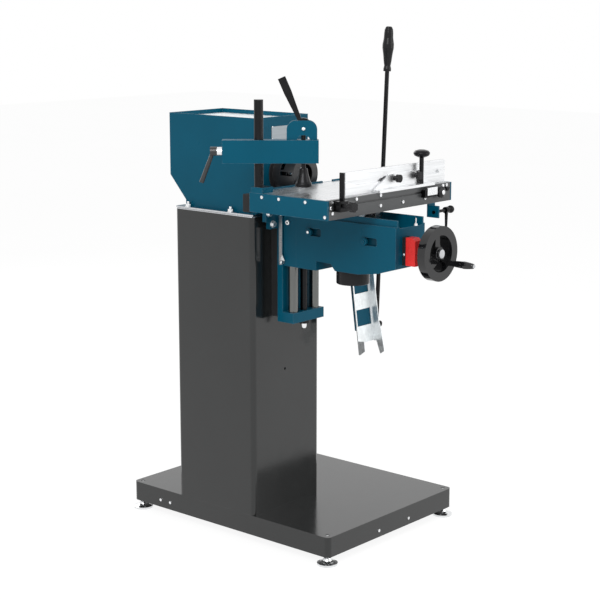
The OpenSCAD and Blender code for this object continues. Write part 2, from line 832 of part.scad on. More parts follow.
// Knee
module knee_profile() {
    polygon([
        [knee_y1, knee_z], [knee_y1 - 75, knee_z], [knee_y1 - 75, knee_z + notch_depth + 2],
        [knee_y1 - 128, knee_z + notch_depth], [knee_y1 - 143, knee_z + 7],
        [knee_y0 + 130, knee_z + 7], [knee_y0 + 60, knee_z + 17], [knee_y0, knee_nose_z],
        [knee_y0, carrier_top_z], [knee_y1, carrier_top_z]
    ]);
}
module knee_hollow() {
    polygon([
        [knee_y1 - knee_wall, knee_z + knee_wall], [knee_y1 - 75 + knee_wall, knee_z + knee_wall],
        [knee_y1 - 75 + knee_wall, knee_z + notch_depth + 2 + knee_wall],
        [knee_y1 - 132, knee_z + notch_depth + knee_wall],
        [knee_y1 - 147, knee_z + 7 + knee_wall], [knee_y0 + 130, knee_z + 7 + knee_wall],
        [knee_y0 + 60, knee_z + 17 + knee_wall], [knee_y0 + knee_wall, knee_nose_z + knee_wall],
        [knee_y0 + knee_wall, rail_top_z + 1], [knee_y1 - knee_wall, rail_top_z + 1]
    ]);
}

module knee_box() {
    rail_x = knee_wall + 6;
    color(petrol) difference() {
        union() {
            difference() {
                translate([knee_x0, 0, 0]) rotate([90, 0, 90]) linear_extrude(knee_w)
                    knee_profile();
                translate([knee_x0 + knee_wall, 0, 0]) rotate([90, 0, 90])
                    linear_extrude(knee_w - 2 * knee_wall) knee_hollow();
            }
            for (x = [knee_x0 + rail_x - 6, knee_x1 - rail_x])
                span([x, x + 6], [knee_y0, knee_y1], [carrier_top_z - 20, rail_top_z]);
        }
        // U-shaped cut in the front plate
        span([knee_x0 + rail_x + 4, knee_x1 - rail_x], [knee_y0 - 1, knee_y0 + knee_wall + 1],
            [carrier_top_z - notch_floor, rail_top_z + 1]);
        rod_y(wheel_shaft_d + 2 * running_gap, knee_y0 - 1, knee_y1 + 1, axis_x, shaft_z);
        for (x = depth_rod_x)
            rod_y(depth_rod_d + 2 * running_gap, knee_y0 + knee_wall / 2, knee_y1 - knee_wall / 2,
                x, depth_rod_z);
        at_knee_bolts() shank_hole(8, knee_wall);
        at_side_plugs() translate([0, 0, -3]) cylinder(d = 22, h = 4, $fn = 6);
        translate([button_x, knee_y0, shaft_z]) rod_y(12, -1, knee_wall + 1, 0, 0);
    }
}

module knee_carrier() {
    color(petrol) difference() {
        span([axis_x - carrier_w / 2, axis_x + carrier_w / 2], [carrier_y0, carrier_y1],
            [knee_z, carrier_top_z]);
        for (x = guide_x)
            rod_z(guide_d + 2 * running_gap, knee_z - 1, carrier_top_z + 1, x, guide_y);
        rod_z(screw_d + 4, knee_z - 1, carrier_top_z + 1, axis_x, guide_y);
        span([axis_x - gear_pocket_r, axis_x + gear_pocket_r], [carrier_y0 - 1, carrier_y1 + 1],
            [shaft_z - gear_pocket_r, pocket_z1]);
        at_knee_bolts() shank_hole(8, knee_wall + 10);
    }
}

module knee_bolts() {
    color(zinc) {
        at_knee_bolts() hex_bolt(8, knee_wall + 10);
        at_side_plugs() translate([0, 0, -3]) difference() {
            cylinder(d = 8, h = 4);
            translate([0, 0, 2]) cylinder(d = 4, h = 3, $fn = 6);
        }
        // Depth stop bolt that stands on the front plate's cut
        translate([axis_x + 27, knee_y0 + knee_wall / 2, carrier_top_z - notch_floor]) {
            cylinder(d = 10, h = 6, $fn = 6);
            translate([0, 0, 6]) cylinder(d = 5, h = 15);
        }
    }
}

module height_pointer() {
    color(zinc) translate([axis_x - carrier_w / 2, carrier_y1 - 1, knee_z + 8])
        rotate([90, 0, 0]) linear_extrude(2) polygon([[0, 0], [-8, 26], [-10, 26], [-3, -2]]);
}

module knee_cap() {
    color(satin_black) {
        translate([cap_x, cap_y, cap_seat_z - cap_h]) {
            cylinder(d1 = cap_d - 3, d2 = cap_d, h = 3);
            translate([0, 0, 3]) cylinder(d = cap_d, h = cap_h - 3);
        }
    }
}

module depth_rods() {
    color(bright_steel) for (x = depth_rod_x)
        rod_y(depth_rod_d, knee_y0 + knee_wall / 2, knee_y1 - knee_wall / 2, x, depth_rod_z);
}

// Switch with a hinged flap over its two buttons
module switch_base() {
    color(satin_black) difference() {
        span([switch_x0, switch_x1], [switch_y0, switch_y1], [switch_z0, switch_z1]);
        for (z = [start_z, stop_z])
            rod_y(button_d + 0.6, switch_y0 - 1, switch_y1 - 3, button_x, z);
    }
}

module push_button(z, reach) {
    rod_y(button_d, switch_y0 - reach, switch_y0 + 2, button_x, z);
    rod_y(button_d - 4, switch_y0 - reach - 1, switch_y0 - reach, button_x, z);
}
module start_button() { color([0.1, 0.5, 0.2]) push_button(start_z, 7); }
module stop_button() { color(signal_red) push_button(stop_z, 10); }

module switch_flap() {
    flap_chamfer = 8;
    color(signal_red) difference() {
        translate([switch_x0, 0, 0]) rotate([90, 0, 90]) linear_extrude(switch_w) polygon([
            [switch_y0 - touch_gap, switch_z0], [switch_y0 - touch_gap, switch_z1],
            [flap_y0 + flap_chamfer, switch_z1], [flap_y0, switch_z1 - flap_chamfer],
            [flap_y0, switch_z0]
        ]);
        span([switch_x0 + flap_wall, switch_x1 - flap_wall],
            [flap_y0 + flap_wall, switch_y0 + 1],
            [switch_z0 + flap_wall, switch_z1 - flap_chamfer - flap_wall]);
    }
}

// Handwheel, its shaft with the bevel pinion, and the lift nut
module handwheel() {
    spoke_w = 20;
    color(satin_black) difference() {
        union() {
            difference() {
                rod_y(wheel_d, wheel_y0, wheel_y1, axis_x, shaft_z);
                rod_y(wheel_d - 2 * wheel_rim_w, wheel_y0 - 1, wheel_y1 - wheel_web_t, axis_x,
                    shaft_z);
            }
            rod_y(hub_d, hub_y0, hub_y1, axis_x, shaft_z);
            for (a = [90, 210, 330])
                translate([axis_x, 0, shaft_z]) rotate([0, -a, 0])
                    span([hub_d / 2 - 3, wheel_d / 2 - wheel_rim_w + 2],
                        [wheel_y0 + 12, wheel_y1 - wheel_web_t / 2], [-spoke_w / 2, spoke_w / 2]);
        }
        rod_y(wheel_shaft_d, hub_y0 - 1, hub_y1 + 1, axis_x, shaft_z);
        rod_y(10 + 2 * running_gap, wheel_y0 - 1, wheel_y1 + 1, grip_x, grip_z);
    }
}

// A bevel gear whose cone's tip is at the origin and whose axis is +Z
module bevel_gear(turn, bore_r) {
    slope = sqrt(0.5);
    inner_r = pitch_r - gear_face * slope;
    root = tooth_root * slope;
    rotate_extrude() polygon([
        [bore_r, inner_r + root], [inner_r - root, inner_r + root], [pitch_r - root, pitch_r + root],
        [pitch_r - root, pitch_r + root + 5], [bore_r, pitch_r + root + 5]
    ]);
    for (i = [0 : gear_teeth - 1])
        rotate([0, 0, (i + turn) * 360 / gear_teeth])
            translate([pitch_r, 0, pitch_r]) rotate([0, 45, 0])
                translate([-tooth_root - 0.1, -tooth_w / 2, -gear_face])
                    cube([tooth_root + 0.1 + tooth_tip, tooth_w, gear_face]);
}

module handwheel_shaft() {
    color(bright_steel) {
        rod_y(wheel_shaft_d, hub_y0 - 2, guide_y - pitch_r - 2, axis_x, shaft_z);
        translate([axis_x, guide_y, shaft_z]) rotate([90, 0, 0]) bevel_gear(0.5, 0);
        rod_y(24, hub_y0 - 7, hub_y0 - 2, axis_x, shaft_z);
        translate([grip_x, 0, grip_z]) rod_y(10, wheel_y0 - crank_grip_len - 3, wheel_y1, 0, 0);
    }
}

module crank_grip() {
    r = crank_grip_d / 2;
    color(satin_black) translate([grip_x, wheel_y0 - touch_gap, grip_z]) rotate([90, 0, 0])
        rotate_extrude() polygon(concat(
            [[5 + running_gap, crank_grip_len], [5 + running_gap, 0], [r - 3, 0]],
            [for (i = [0 : 12]) [r - 3 + 3 * sin(i * 15) * (i < 7 ? 0.7 : 1),
                2 + (crank_grip_len - 5) * i / 12]],
            [[r - 4, crank_grip_len]]
        ));
}

module lift_nut() {
    color(bright_steel) translate([axis_x, guide_y, 0]) difference() {
        union() {
            translate([0, 0, shaft_z]) bevel_gear(0, screw_d / 2);
            rod_z(30, shaft_z + pitch_r + 6, gear_top_z, 0, 0);
        }
        rod_z(screw_d + 2 * running_gap, shaft_z - 50, gear_top_z + 1, 0, 0);
    }
}

// Carriage that runs on the knee's rods and carries the table's rods
module carriage() {
    color(rail_grey) difference() {
        union() {
            span([axis_x - carriage_w / 2, axis_x + carriage_w / 2], [carriage_y0, carriage_y1],
                [carriage_z0, carriage_z0 + carriage_t]);
            for (x = depth_rod_x, y = [carriage_y0, carriage_y1 - block_len])
                span([x - block_w / 2, x + block_w / 2], [y, y + block_len],
                    [depth_rod_z - 14, carriage_z0]);
            for (x = [axis_x - carriage_w / 2, axis_x + carriage_w / 2 - 34], y = cross_rod_y)
                span([x, x + 34], [y - 15, y + 15],
                    [carriage_z0 + carriage_t, cross_z + 13]);
        }
        for (x = depth_rod_x)
            rod_y(depth_rod_d + 2 * running_gap, carriage_y0 - 1, carriage_y1 + 1, x, depth_rod_z);
        for (y = cross_rod_y)
            rod_x(cross_rod_d + 2 * running_gap, axis_x - carriage_w, axis_x + carriage_w, y,
                cross_z);
    }
}

// Table
module table_top() {
    color(bright_steel) difference() {
        span([table_x0 + skirt_t, table_x1 - skirt_t], [rail_y1, table_y1 - skirt_t],
            [table_z - table_t, table_z]);
        at_left_skirt_screws() shank_hole(5, skirt_t + 10);
        at_right_skirt_screws() shank_hole(5, skirt_t + 10);
    }
}

module table_plates() {
    lip = 4;
    color(petrol) {
        difference() {
            union() {
                for (x = [table_x0, table_x1 - skirt_t])
                    span([x, x + skirt_t], [table_y0, table_y1], [skirt_z0, table_z]);
                span([table_x0 + skirt_t, table_x1 - skirt_t], [table_y1 - skirt_t, table_y1],
                    [skirt_z0, table_z + lip]);
            }
            span([axis_x + 25, axis_x + 72], [table_y1 - skirt_t - 1, table_y1 + 1],
                [table_z, table_z + lip + 1]);
            at_left_skirt_screws() shank_hole(5, skirt_t);
            at_right_skirt_screws() shank_hole(5, skirt_t);
            for (y = cross_rod_y)
                rod_x(cross_rod_d + 2 * running_gap, table_x0 + skirt_t / 2,
                    table_x1 - skirt_t / 2, y, cross_z);
        }
        // Eye that the hand lever passes through
        difference() {
            union() {
                span([table_x1, lever_x + 23], [lever_eye_y - 25, lever_eye_y + 25],
                    [eye_z - 3, eye_z + 3]);
                span([table_x1, table_x1 + 5], [table_y1 - 40, lever_eye_y - 25],
                    [eye_z - 3, eye_z + 12]);
            }
            rod_z(32, eye_z - 4, eye_z + 4, lever_x, lever_eye_y);
        }
        // Bracket of the lock lever
        difference() {
            union() {
                span([lock_bracket_x, lock_bracket_x + 30], [table_y0, table_y0 + 6],
                    [lock_z - 16, skirt_z0]);
                span([lock_bracket_x, lock_bracket_x + 5], [lock_y - 15, table_y0],
                    [lock_z - 16, skirt_z0 - 4]);
            }
            rod_x(lock_shaft_d + 2 * running_gap, lock_bracket_x - 1, lock_bracket_x + 6, lock_y,
                lock_z);
        }
    }
}

module front_rail() {
    color(rail_grey) difference() {
        span([table_x0 + skirt_t, table_x1 - skirt_t], [table_y0, rail_y1], [skirt_z0, table_z]);
        span([table_x0 + 100, table_x1 - 96], [table_y0 - 1, table_y0 + 4],
            [table_z - 20, table_z - 14]);
        at_rail_screws() shank_hole(5, rail_t - 2);
        at_left_skirt_screws() shank_hole(5, skirt_t + 8);
    }
}

module cross_rods() {
    color(bright_steel) for (y = cross_rod_y)
        rod_x(cross_rod_d, table_x0 + skirt_t / 2, table_x1 - skirt_t / 2, y, cross_z);
}

module table_screws() {
    color(zinc) {
        at_left_skirt_screws() round_screw(5, skirt_t + 8);
        at_right_skirt_screws() round_screw(5, skirt_t + 8);
        at_rail_screws() round_screw(5, rail_t - 3);
    }
}

module table_lock_lever() {
    reach = 72;
    color(satin_black) {
        rod_x(lock_shaft_d, lock_bracket_x - 4, lock_bracket_x + reach, lock_y, lock_z);
        rod_x(16, lock_bracket_x + 5 + touch_gap, lock_bracket_x + 11, lock_y, lock_z);
        translate([lock_bracket_x + reach + 7, lock_y, lock_z]) sphere(d = 22);
        translate([lock_bracket_x + reach - 20, lock_y, lock_z]) {
            rotate([0, 90, 0]) cylinder(d = 18, h = 14);
            translate([7, 0, -50]) cylinder(d1 = 7, d2 = 10, h = 46);
        }
    }
}

// Work clamp
module clamp_post() {
    color(satin_black)
        rod_z(post_d, post_z0 - 8, post_z0 + post_len, post_x, post_y);
    color(petrol) difference() {
        span([table_x0, table_x0 + 44], [table_y1 - 46, table_y1 - skirt_t - touch_gap],
            [table_z, post_z0]);
        rod_z(post_d, post_z0 - 8, post_z0 + 1, post_x, post_y);
    }
}

// The clamp's own frame: +X runs along the arm from the post
module on_arm() {
    translate([post_x, post_y, 0]) rotate([0, 0, -arm_angle]) children();
}

module arm_sleeve() {
    color(bright_steel) on_arm() difference() {
        rod_z(post_d + 6.4, arm_z0 + arm_wall + touch_gap, arm_z1 - arm_wall - touch_gap, 0, 0);
        rod_z(post_d + 2 * running_gap, arm_z0, arm_z1, 0, 0);
    }
}

module clamp_arm() {
    color(petrol) on_arm() {
        difference() {
            span([-arm_back, arm_front], [-arm_t / 2, arm_t / 2], [arm_z0, arm_z1]);
            span([-arm_back + arm_wall, arm_front + 1], [-arm_t / 2 + arm_wall, arm_t / 2 - arm_wall],
                [arm_z0 + arm_wall, arm_z1 - arm_wall]);
            rod_z(post_d + 1, arm_z0 - 1, arm_z1 + 1, 0, 0);
            rod_z(presser_rod_d + 2 * running_gap, arm_z0 - 1, arm_z1 + 1, presser_reach, 0);
            rod_x(14, -arm_back - 1, -arm_back + arm_wall + 1, 0, (arm_z0 + arm_z1) / 2);
        }
        for (s = [-1, 1])
            difference() {
                translate([0, s * (ear_gap / 2 + ear_t / 2) + ear_t / 2, 0]) rotate([90, 0, 0])
                    linear_extrude(ear_t) difference() {
                        union() {
                            translate([ear_u0, arm_z1]) square([ear_u1 - ear_u0, ear_h - ear_round]);
                            translate([ear_u0 + ear_round, arm_z1]) square([ear_u1 - ear_u0 - 2 * ear_round, ear_h]);
                            for (u = [ear_u0 + ear_round, ear_u1 - ear_round])
                                translate([u, arm_z1 + ear_h - ear_round]) circle(r = ear_round);
                        }
                        intersection() {
                            translate([cam_u, arm_z1 - 6]) circle(r = 19);
                            translate([ear_u0, arm_z1]) square([ear_u1 - ear_u0, 20]);
                        }
                        translate([cam_u, cam_z]) circle(d = 8 + 2 * running_gap);
                    }
            }
    }
}

module arm_lock_lever() {
    z = (arm_z0 + arm_z1) / 2;
    color(satin_black) on_arm() translate([-arm_back - touch_gap, 0, z]) {
        rotate([0, -90, 0]) cylinder(d = 21, h = 14);
        rotate([0, -90, 0]) translate([0, 0, 14]) cylinder(d = 24, h = 18);
        rod_x(12, 0, arm_back - post_d / 2 - 3 - 2 * touch_gap, 0, 0);
        translate([-24, 0, 0]) rotate([0, 180 + 21, 0]) translate([0, 0, 8])
            cylinder(d1 = 11, d2 = 13, h = 82);
    }
}

module cam_lever() {
    color(bright_steel) on_arm() translate([cam_u, 0, cam_z]) {
        rotate([90, 0, 0]) difference() {
            union() {
                translate([0, cam_offset, -cam_t / 2]) cylinder(r = cam_r, h = cam_t);
            }
        }
        rotate([90, 0, 0]) cylinder(d = 8, h = ear_gap + 2 * ear_t + 4, center = true);
        rotate([0, -cam_lean, 0]) translate([0, 0, 18]) {
            rotate([90, 0, 0]) linear_extrude(10, center = true)
                polygon([[-5, 0], [5, 0], [10.5, cam_lever_len - 60], [10.5, cam_lever_len - 18],
                    [-10.5, cam_lever_len - 18], [-10.5, cam_lever_len - 60]]);
        }
    }
}

module presser() {
    color(satin_black) on_arm() translate([presser_reach, 0, 0]) {
        rod_z(presser_rod_d, presser_z0 + 30, rod_top_z, 0, 0);
        translate([0, 0, presser_z0]) rotate_extrude() polygon([
            [0, 0], [presser_foot_d / 2 - 2, 0], [presser_foot_d / 2, 2],
            [presser_foot_d / 2, 9], [presser_foot_d / 2 - 4, 15], [13, 36], [11, 50], [0, 50]
        ]);
    }
}

// Fence
module fence() {
    groove_z = fence_z0 + fence_h * 0.55;
    color(bright_steel) difference() {
        span([fence_x0, fence_x1], [fence_y0, fence_y1], [fence_z0, fence_z0 + fence_h]);
        span([fence_x0 - 1, fence_x1 + 1], [fence_y0 - 1, fence_y0 + 3], [groove_z, groove_z + 4]);
        span([fence_x0 + 30, fence_x1 - 30], [fence_y0 - 1, fence_y0 + 6],
            [knob_z - 4.5, knob_z + 4.5]);
    }
}

module fence_bracket() {
    color(bright_steel) difference() {
        union() {
            translate([0, fence_y0 - touch_gap, 0]) rotate([90, 0, 0])
                linear_extrude(bracket_t) polygon([
                    [bracket_fx0, fence_seat_z], [bracket_fx0, table_z + touch_gap],
                    [bracket_fx1, table_z + touch_gap], [bracket_fx1, fence_seat_z],
                    [bracket_ftop1, knob_z + 12], [bracket_ftop0, knob_z + 12]
                ]);
            span([bracket_fx0, bracket_fx1], [table_y0 - 8, fence_y0 - touch_gap - bracket_t],
                [table_z + touch_gap, fence_seat_z]);
        }
        for (x = knob_x)
            rod_y(8 + 2 * running_gap, fence_y0 - 20, fence_y0 + 1, x, knob_z);
        rod_z(clamp_screw_d + 2 * running_gap, table_z - 1, fence_seat_z + 1, clamp_screw_x,
            clamp_screw_y);
    }
}

module fence_knob(x) {
    knob_y = fence_y0 - touch_gap - bracket_t - touch_gap;
    color(satin_black) translate([x, knob_y, knob_z]) rotate([90, 0, 0]) {
        translate([0, 0, -bracket_t - 4]) cylinder(d = 8, h = bracket_t + 5);
        cylinder(d = 13, h = 9);
        translate([0, 0, 9]) cylinder(d = 22, h = 10);
    }
}
module fence_knob_left() { fence_knob(knob_x[0]); }
module fence_knob_right() { fence_knob(knob_x[1]); }

module fence_screw() {
    color(satin_black) translate([clamp_screw_x, clamp_screw_y, table_z]) {
        translate([0, 0, 1]) cylinder(d = clamp_screw_d, h = clamp_screw_h - 20);
        translate([0, 0, clamp_screw_h - 22]) rotate_extrude() polygon([
            [0, 0], [8, 0], [screw_knob_d / 2 - 3, 5], [screw_knob_d / 2, 10],
            [screw_knob_d / 2, 14], [screw_knob_d / 2 - 4, 19], [9, 22], [0, 22]
        ]);
    }
}

// Length stop on the front rail
module stop_bar() {
    color(satin_black) {
        difference() {
            span([stop_x0, stop_x0 + stop_w],
                [table_y0 - stop_block_d - touch_gap, table_y0 - touch_gap],
                [stop_z0, table_z - 2]);
            span([stop_bar_x, stop_bar_x + 6],
                [table_y0 - 18, table_y0 - 4], [stop_z0 - 1, table_z]);
            rod_y(8 + 2 * running_gap, table_y0 - stop_block_d - 2, table_y0 - 19, stop_knob_x,
                stop_knob_z);
        }
        span([stop_bar_x, stop_bar_x + 6], [table_y0 - 18, table_y0 - 4],
            [stop_z0, table_z + 71]);
    }
}

module stop_knob() {
    color(satin_black) translate([stop_knob_x, table_y0 - stop_block_d - 2 * touch_gap, stop_knob_z])
        rotate([90, 0, 0]) {
            translate([0, 0, -4]) cylinder(d = 8, h = 6);
            cylinder(d = 11, h = 22);
            translate([0, 0, 22]) difference() {
                cylinder(d = 27, h = 16);
                for (a = [0 : 60 : 300])
                    rotate([0, 0, a]) translate([16, 0, -1]) cylinder(d = 9, h = 18);
            }
        }
}

// Hanger, gimbal and hand lever
module hanger_frame() {
    translate([0, hanger_y, hanger_top_z]) rotate([-hanger_tilt, 0, 0]) children();
}
module lever_hanger() {
    hanger_len = 268;
    foot_len = 34;
    drop = hanger_top_z - pivot_z;
    set_back = lever_y - hanger_y;
    lug_y = set_back * cos(hanger_tilt) + drop * sin(hanger_tilt);
    lug_z = set_back * sin(hanger_tilt) - drop * cos(hanger_tilt);
    color(zinc) {
        hanger_frame() difference() {
            union() {
                span([hanger_x0 + 1, hanger_x1 - 1], [-hanger_t, 0], [-hanger_len, 0]);
                translate([hanger_x1 - hanger_t, 0, 0]) rotate([90, 0, 90])
                    linear_extrude(hanger_t) polygon([
                        [-1, -1], [-24, -1], [-27, 60 - hanger_len], [-34, 30 - hanger_len],
                        [-38, -hanger_len - foot_len], [-22, -hanger_len - foot_len - 8],
                        [-12, -hanger_len - 1], [-1, -hanger_len - 1],
                        // Lug that carries the gimbal's axle
                        [-1, lug_z - 16], [lug_y + 14, lug_z - 16], [lug_y + 14, lug_z + 16],
                        [-1, lug_z + 16]
                    ]);
                translate([hanger_x0, 0, 0]) rotate([90, 0, 90])
                    linear_extrude(hanger_t) polygon([
                        [-1, 8 - hanger_len], [-26, 8 - hanger_len], [-26, -hanger_len - 22],
                        [-6, -hanger_len - 34], [-1, -hanger_len - 34]
                    ]);
            }
            for (w = [[-216, 50], [-117, 69]])
                span([hanger_x0 + 6, hanger_x1 - 8], [-hanger_t - 1, 1], [w[0], w[0] + w[1]]);
        }
        // Axle and its collar
        rod_x(axle_d, hanger_x1 - hanger_t + 1, lever_x - 13, lever_y, pivot_z);
        rod_x(axle_d + 12, hanger_x1 - 1, hanger_x1 + 4, lever_y, pivot_z);
    }
}

module hanger_arm() {
    color(petrol) {
        hanger_frame()
            span([hanger_x0 + 3, hanger_x1 - 6], [touch_gap, 8], [-228, 4]);
        span([axis_x + carrier_w / 2, hanger_x1 - 20], [hanger_y - 24, hanger_y + 6],
            [knee_z + 20, knee_z + 60]);
        span([hanger_x0 + 8, hanger_x1 - 20], [hanger_y - 6, hanger_y + 6],
            [hanger_top_z + 1, knee_z + 20]);
    }
}

module lever_gimbal() {
    half = gimbal_w / 2;
    color(satin_black) translate([lever_x, lever_y, pivot_z]) {
        difference() {
            span([-35, -11], [-half, half], [-half, half]);
            rod_x(axle_d + 2 * running_gap, -36, -12.5, 0, 0);
        }
        for (y = [[-half, -9.5], [9.5, half]])
            difference() {
                union() {
                    span([-11, 0], y, [-10, 10]);
                    rod_y(20, y[0], y[1], 0, 0);
                }
                rod_y(eye_pin_d, y[0] - 1, y[1] + 1, 0, 0);
            }
        rod_y(eye_pin_d, -half - 3, half + 3, 0, 0);
    }
}

module on_lever() {
    translate([lever_x, lever_y, pivot_z]) rotate([lever_lean, 0, 0]) children();
}
lever_len = (lever_top_z - pivot_z) / cos(lever_lean);
module lever_rod() {
    color(satin_black) {
        difference() {
            union() {
                translate([lever_x, lever_y, pivot_z]) rod_y(18, -9, 9, 0, 0);
                on_lever() rod_z(lever_d, 0, lever_len - grip_len + 20, 0, 0);
            }
            translate([lever_x, lever_y, pivot_z]) rod_y(eye_pin_d + 2 * running_gap, -12, 12, 0, 0);
        }
    }
}

module lever_grip() {
    r = grip_d / 2;
    neck = lever_d / 2 + 3;
    color(satin_black) on_lever() translate([0, 0, lever_len - grip_len]) rotate_extrude() polygon([
        [0, 20], [lever_d / 2 + running_gap, 20], [lever_d / 2 + running_gap, 0], [neck + 2, 0],
        [neck + 2, 8],
        [neck, 16], [neck + 2, 28], [r - 3, 50], [r, 68], [r, 80], [r - 3, 98],
        [neck + 4, 112], [neck + 3, 122], [neck, grip_len - 2], [neck - 3, grip_len], [0, grip_len]
    ]);
}

base_tray();
levelling_feet();
frame_screws();
column();
motor_plate();
motor_housing();
housing_lid();
motor_frame();
spindle_bearings();
chuck_guard();
slide_plate();
slide_spacer();
slide_top_bracket();
guide_columns();
lift_screw();
height_scale();
rotor_shaft();
cooling_fan();
chuck_body();
chuck_jaw_left();
chuck_jaw_right();
knee_box();
knee_carrier();
knee_bolts();
height_pointer();
knee_cap();
depth_rods();
lever_hanger();
hanger_arm();
switch_base();
switch_flap();
start_button();
stop_button();
handwheel();
handwheel_shaft();
crank_grip();
lift_nut();
carriage();
table_top();
table_plates();
front_rail();
cross_rods();
table_screws();
clamp_post();
arm_sleeve();
clamp_arm();
arm_lock_lever();
cam_lever();
presser();
fence();
fence_bracket();
fence_knob_left();
fence_knob_right();
fence_screw();
stop_bar();
stop_knob();
lever_gimbal();
lever_rod();
lever_grip();
table_lock_lever();
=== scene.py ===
# Looks of the horizontal slot mortiser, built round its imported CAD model.
# Metres throughout: +X is the operator's right, +Y the back, +Z up.
import json
import math

import bpy
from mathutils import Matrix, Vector


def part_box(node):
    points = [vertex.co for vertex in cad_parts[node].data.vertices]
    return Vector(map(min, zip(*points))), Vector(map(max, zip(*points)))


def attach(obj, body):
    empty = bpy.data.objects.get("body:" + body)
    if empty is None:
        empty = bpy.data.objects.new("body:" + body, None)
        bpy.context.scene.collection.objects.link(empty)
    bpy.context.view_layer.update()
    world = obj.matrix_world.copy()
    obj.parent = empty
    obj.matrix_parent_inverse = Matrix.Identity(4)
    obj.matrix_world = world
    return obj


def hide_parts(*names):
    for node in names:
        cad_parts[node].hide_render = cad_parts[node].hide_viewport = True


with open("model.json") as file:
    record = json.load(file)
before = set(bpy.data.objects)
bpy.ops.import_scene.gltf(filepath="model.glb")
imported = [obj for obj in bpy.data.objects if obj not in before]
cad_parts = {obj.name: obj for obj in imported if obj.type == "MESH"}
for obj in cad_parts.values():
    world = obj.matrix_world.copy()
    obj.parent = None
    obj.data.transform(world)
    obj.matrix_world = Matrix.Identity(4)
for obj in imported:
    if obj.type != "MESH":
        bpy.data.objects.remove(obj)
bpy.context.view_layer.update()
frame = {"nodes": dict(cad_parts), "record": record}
BODY_OF = {node: body for body, nodes in frame["record"]["behaviour"]["bodies"].items() for node in nodes}
SLOT_OF = {part["node"]: part["material_slot"] for part in frame["record"]["subparts"]}

# Directions
MM = 0.001
LEFT = Vector((-1.0, 0.0, 0.0))
FRONT = Vector((0.0, -1.0, 0.0))
UP = Vector((0.0, 0.0, 1.0))

# Camera and lamps. A lamp has a place, the point that it looks at, a diameter and its watts.
CAMERA_PLACE = (-3.4370, -3.0115, 1.5963)
CAMERA_TILT = math.radians(78.62)
CAMERA_TURN = math.radians(-49.10)
FOCAL_LENGTH = 91.27
SENSOR_WIDTH = 36.0
VIEW_END = 60.0
LAMPS = {
    "key_lamp": ((-3.2, -1.6, 3.2), (-0.1, -0.2, 0.9), 2.6, 95.0),
    "fill_lamp": ((1.6, -3.6, 1.9), (-0.1, -0.2, 0.8), 3.0, 40.0),
    "rear_lamp": ((0.8, 3.4, 2.8), (-0.1, 0.0, 0.9), 3.0, 40.0),
}
ROOM_LIGHT = 0.46
FLOOR_SIZE = 30.0
FLOOR_GLOW = 1.1
FLOOR_GLOW_SHARE = 0.82
WHITE = (1.0, 1.0, 1.0, 1.0)

# Rating plate and its rivets, on the housing's front
HOUSING_FRONT_Y = -0.114
PLATE_LEFT = -0.216
PLATE_RIGHT = -0.137
PLATE_BOTTOM = 1.187
PLATE_TOP = 1.2265
PLATE_GAUGE = 1.2 * MM
RIVET_XS = (-0.2125, -0.1405)
RIVET_ZS = (1.1905, 1.2255)

# Studs beside the housing, and bolts on the slide's ears
STUD_INSET = 8.0 * MM
STUD_RIGHT_X = -0.047
STUD_YS = (-0.024, 0.147)
EAR_BOLTS = [(-0.265, -0.146, 0.986), (-0.249, -0.146, 0.954)]

# Side plugs of the knee as Y and Z, and the recess round each
PLUGS = [(-0.266, 0.941), (-0.464, 0.935)]
RECESS_DEPTH = 5.5 * MM
RECESS_HALF_HEIGHT = 11.0 * MM
RECESS_TO_FRONT = 40.0 * MM
RECESS_TO_REAR = 6.0 * MM
RECESS_CORNER = 5.0 * MM
RECESS_OVERHANG = 20.0 * MM

# Hardware on the knee and the slide
LIFT_SCREW_FOOT = (-0.160, -0.187, 0.668)
CARRIER_CAP = (-0.224, -0.186, 0.960)
SCALE_SCREW_X = -0.2295
SCALE_SCREW_Y = -0.159
SCALE_SCREW_ZS = (0.980, 0.842)
SWITCH_SCREW = (-0.196, -0.5745, 0.9065)
POINTER = (-0.2342, -0.1705, 0.8555)

# Hardware on the table: blocks by their low and high corners, the rest on the rail's front
BUFFER_LOW = (-0.435, -0.2308, 1.014)
BUFFER_HIGH = (-0.408, -0.204, 1.064)
RAIL_FRONT_Y = -0.506
END_BLOCK_LOW = (-0.028, RAIL_FRONT_Y - 0.014, 1.0385)
END_BLOCK_HIGH = (0.004, RAIL_FRONT_Y, 1.0605)
END_PLATE_LOW = (-0.020, RAIL_FRONT_Y - 0.017, 1.0445)
END_PLATE_HIGH = (0.026, RAIL_FRONT_Y - 0.0142, 1.0660)
END_KNOB = (0.0486, RAIL_FRONT_Y, 1.048)
END_KNOB_TOP = (0.0486, RAIL_FRONT_Y - 0.0205, 1.048)
END_SCREW = (0.072, RAIL_FRONT_Y, 1.0635)
LEFT_SCREW = (-0.4235, RAIL_FRONT_Y, 1.0505)
END_STUB = (0.087, RAIL_FRONT_Y, 1.053)

# Clamp: its post, and the arm's direction over the table
POST = Vector((-0.4235, -0.2545, 0.0))
ARM_ANGLE = math.radians(49.1)
ARM_ALONG = Vector((math.cos(ARM_ANGLE), -math.sin(ARM_ANGLE), 0.0))
ARM_ACROSS = Vector((math.sin(ARM_ANGLE), math.cos(ARM_ANGLE), 0.0))
LOCK_SLEEVE_REACH = 0.0984
LOCK_SLEEVE_Z = 1.182
CAM_PIN_REACH = 0.120
CAM_PIN_SIDE = 0.0141
CAM_PIN_Z = 1.243

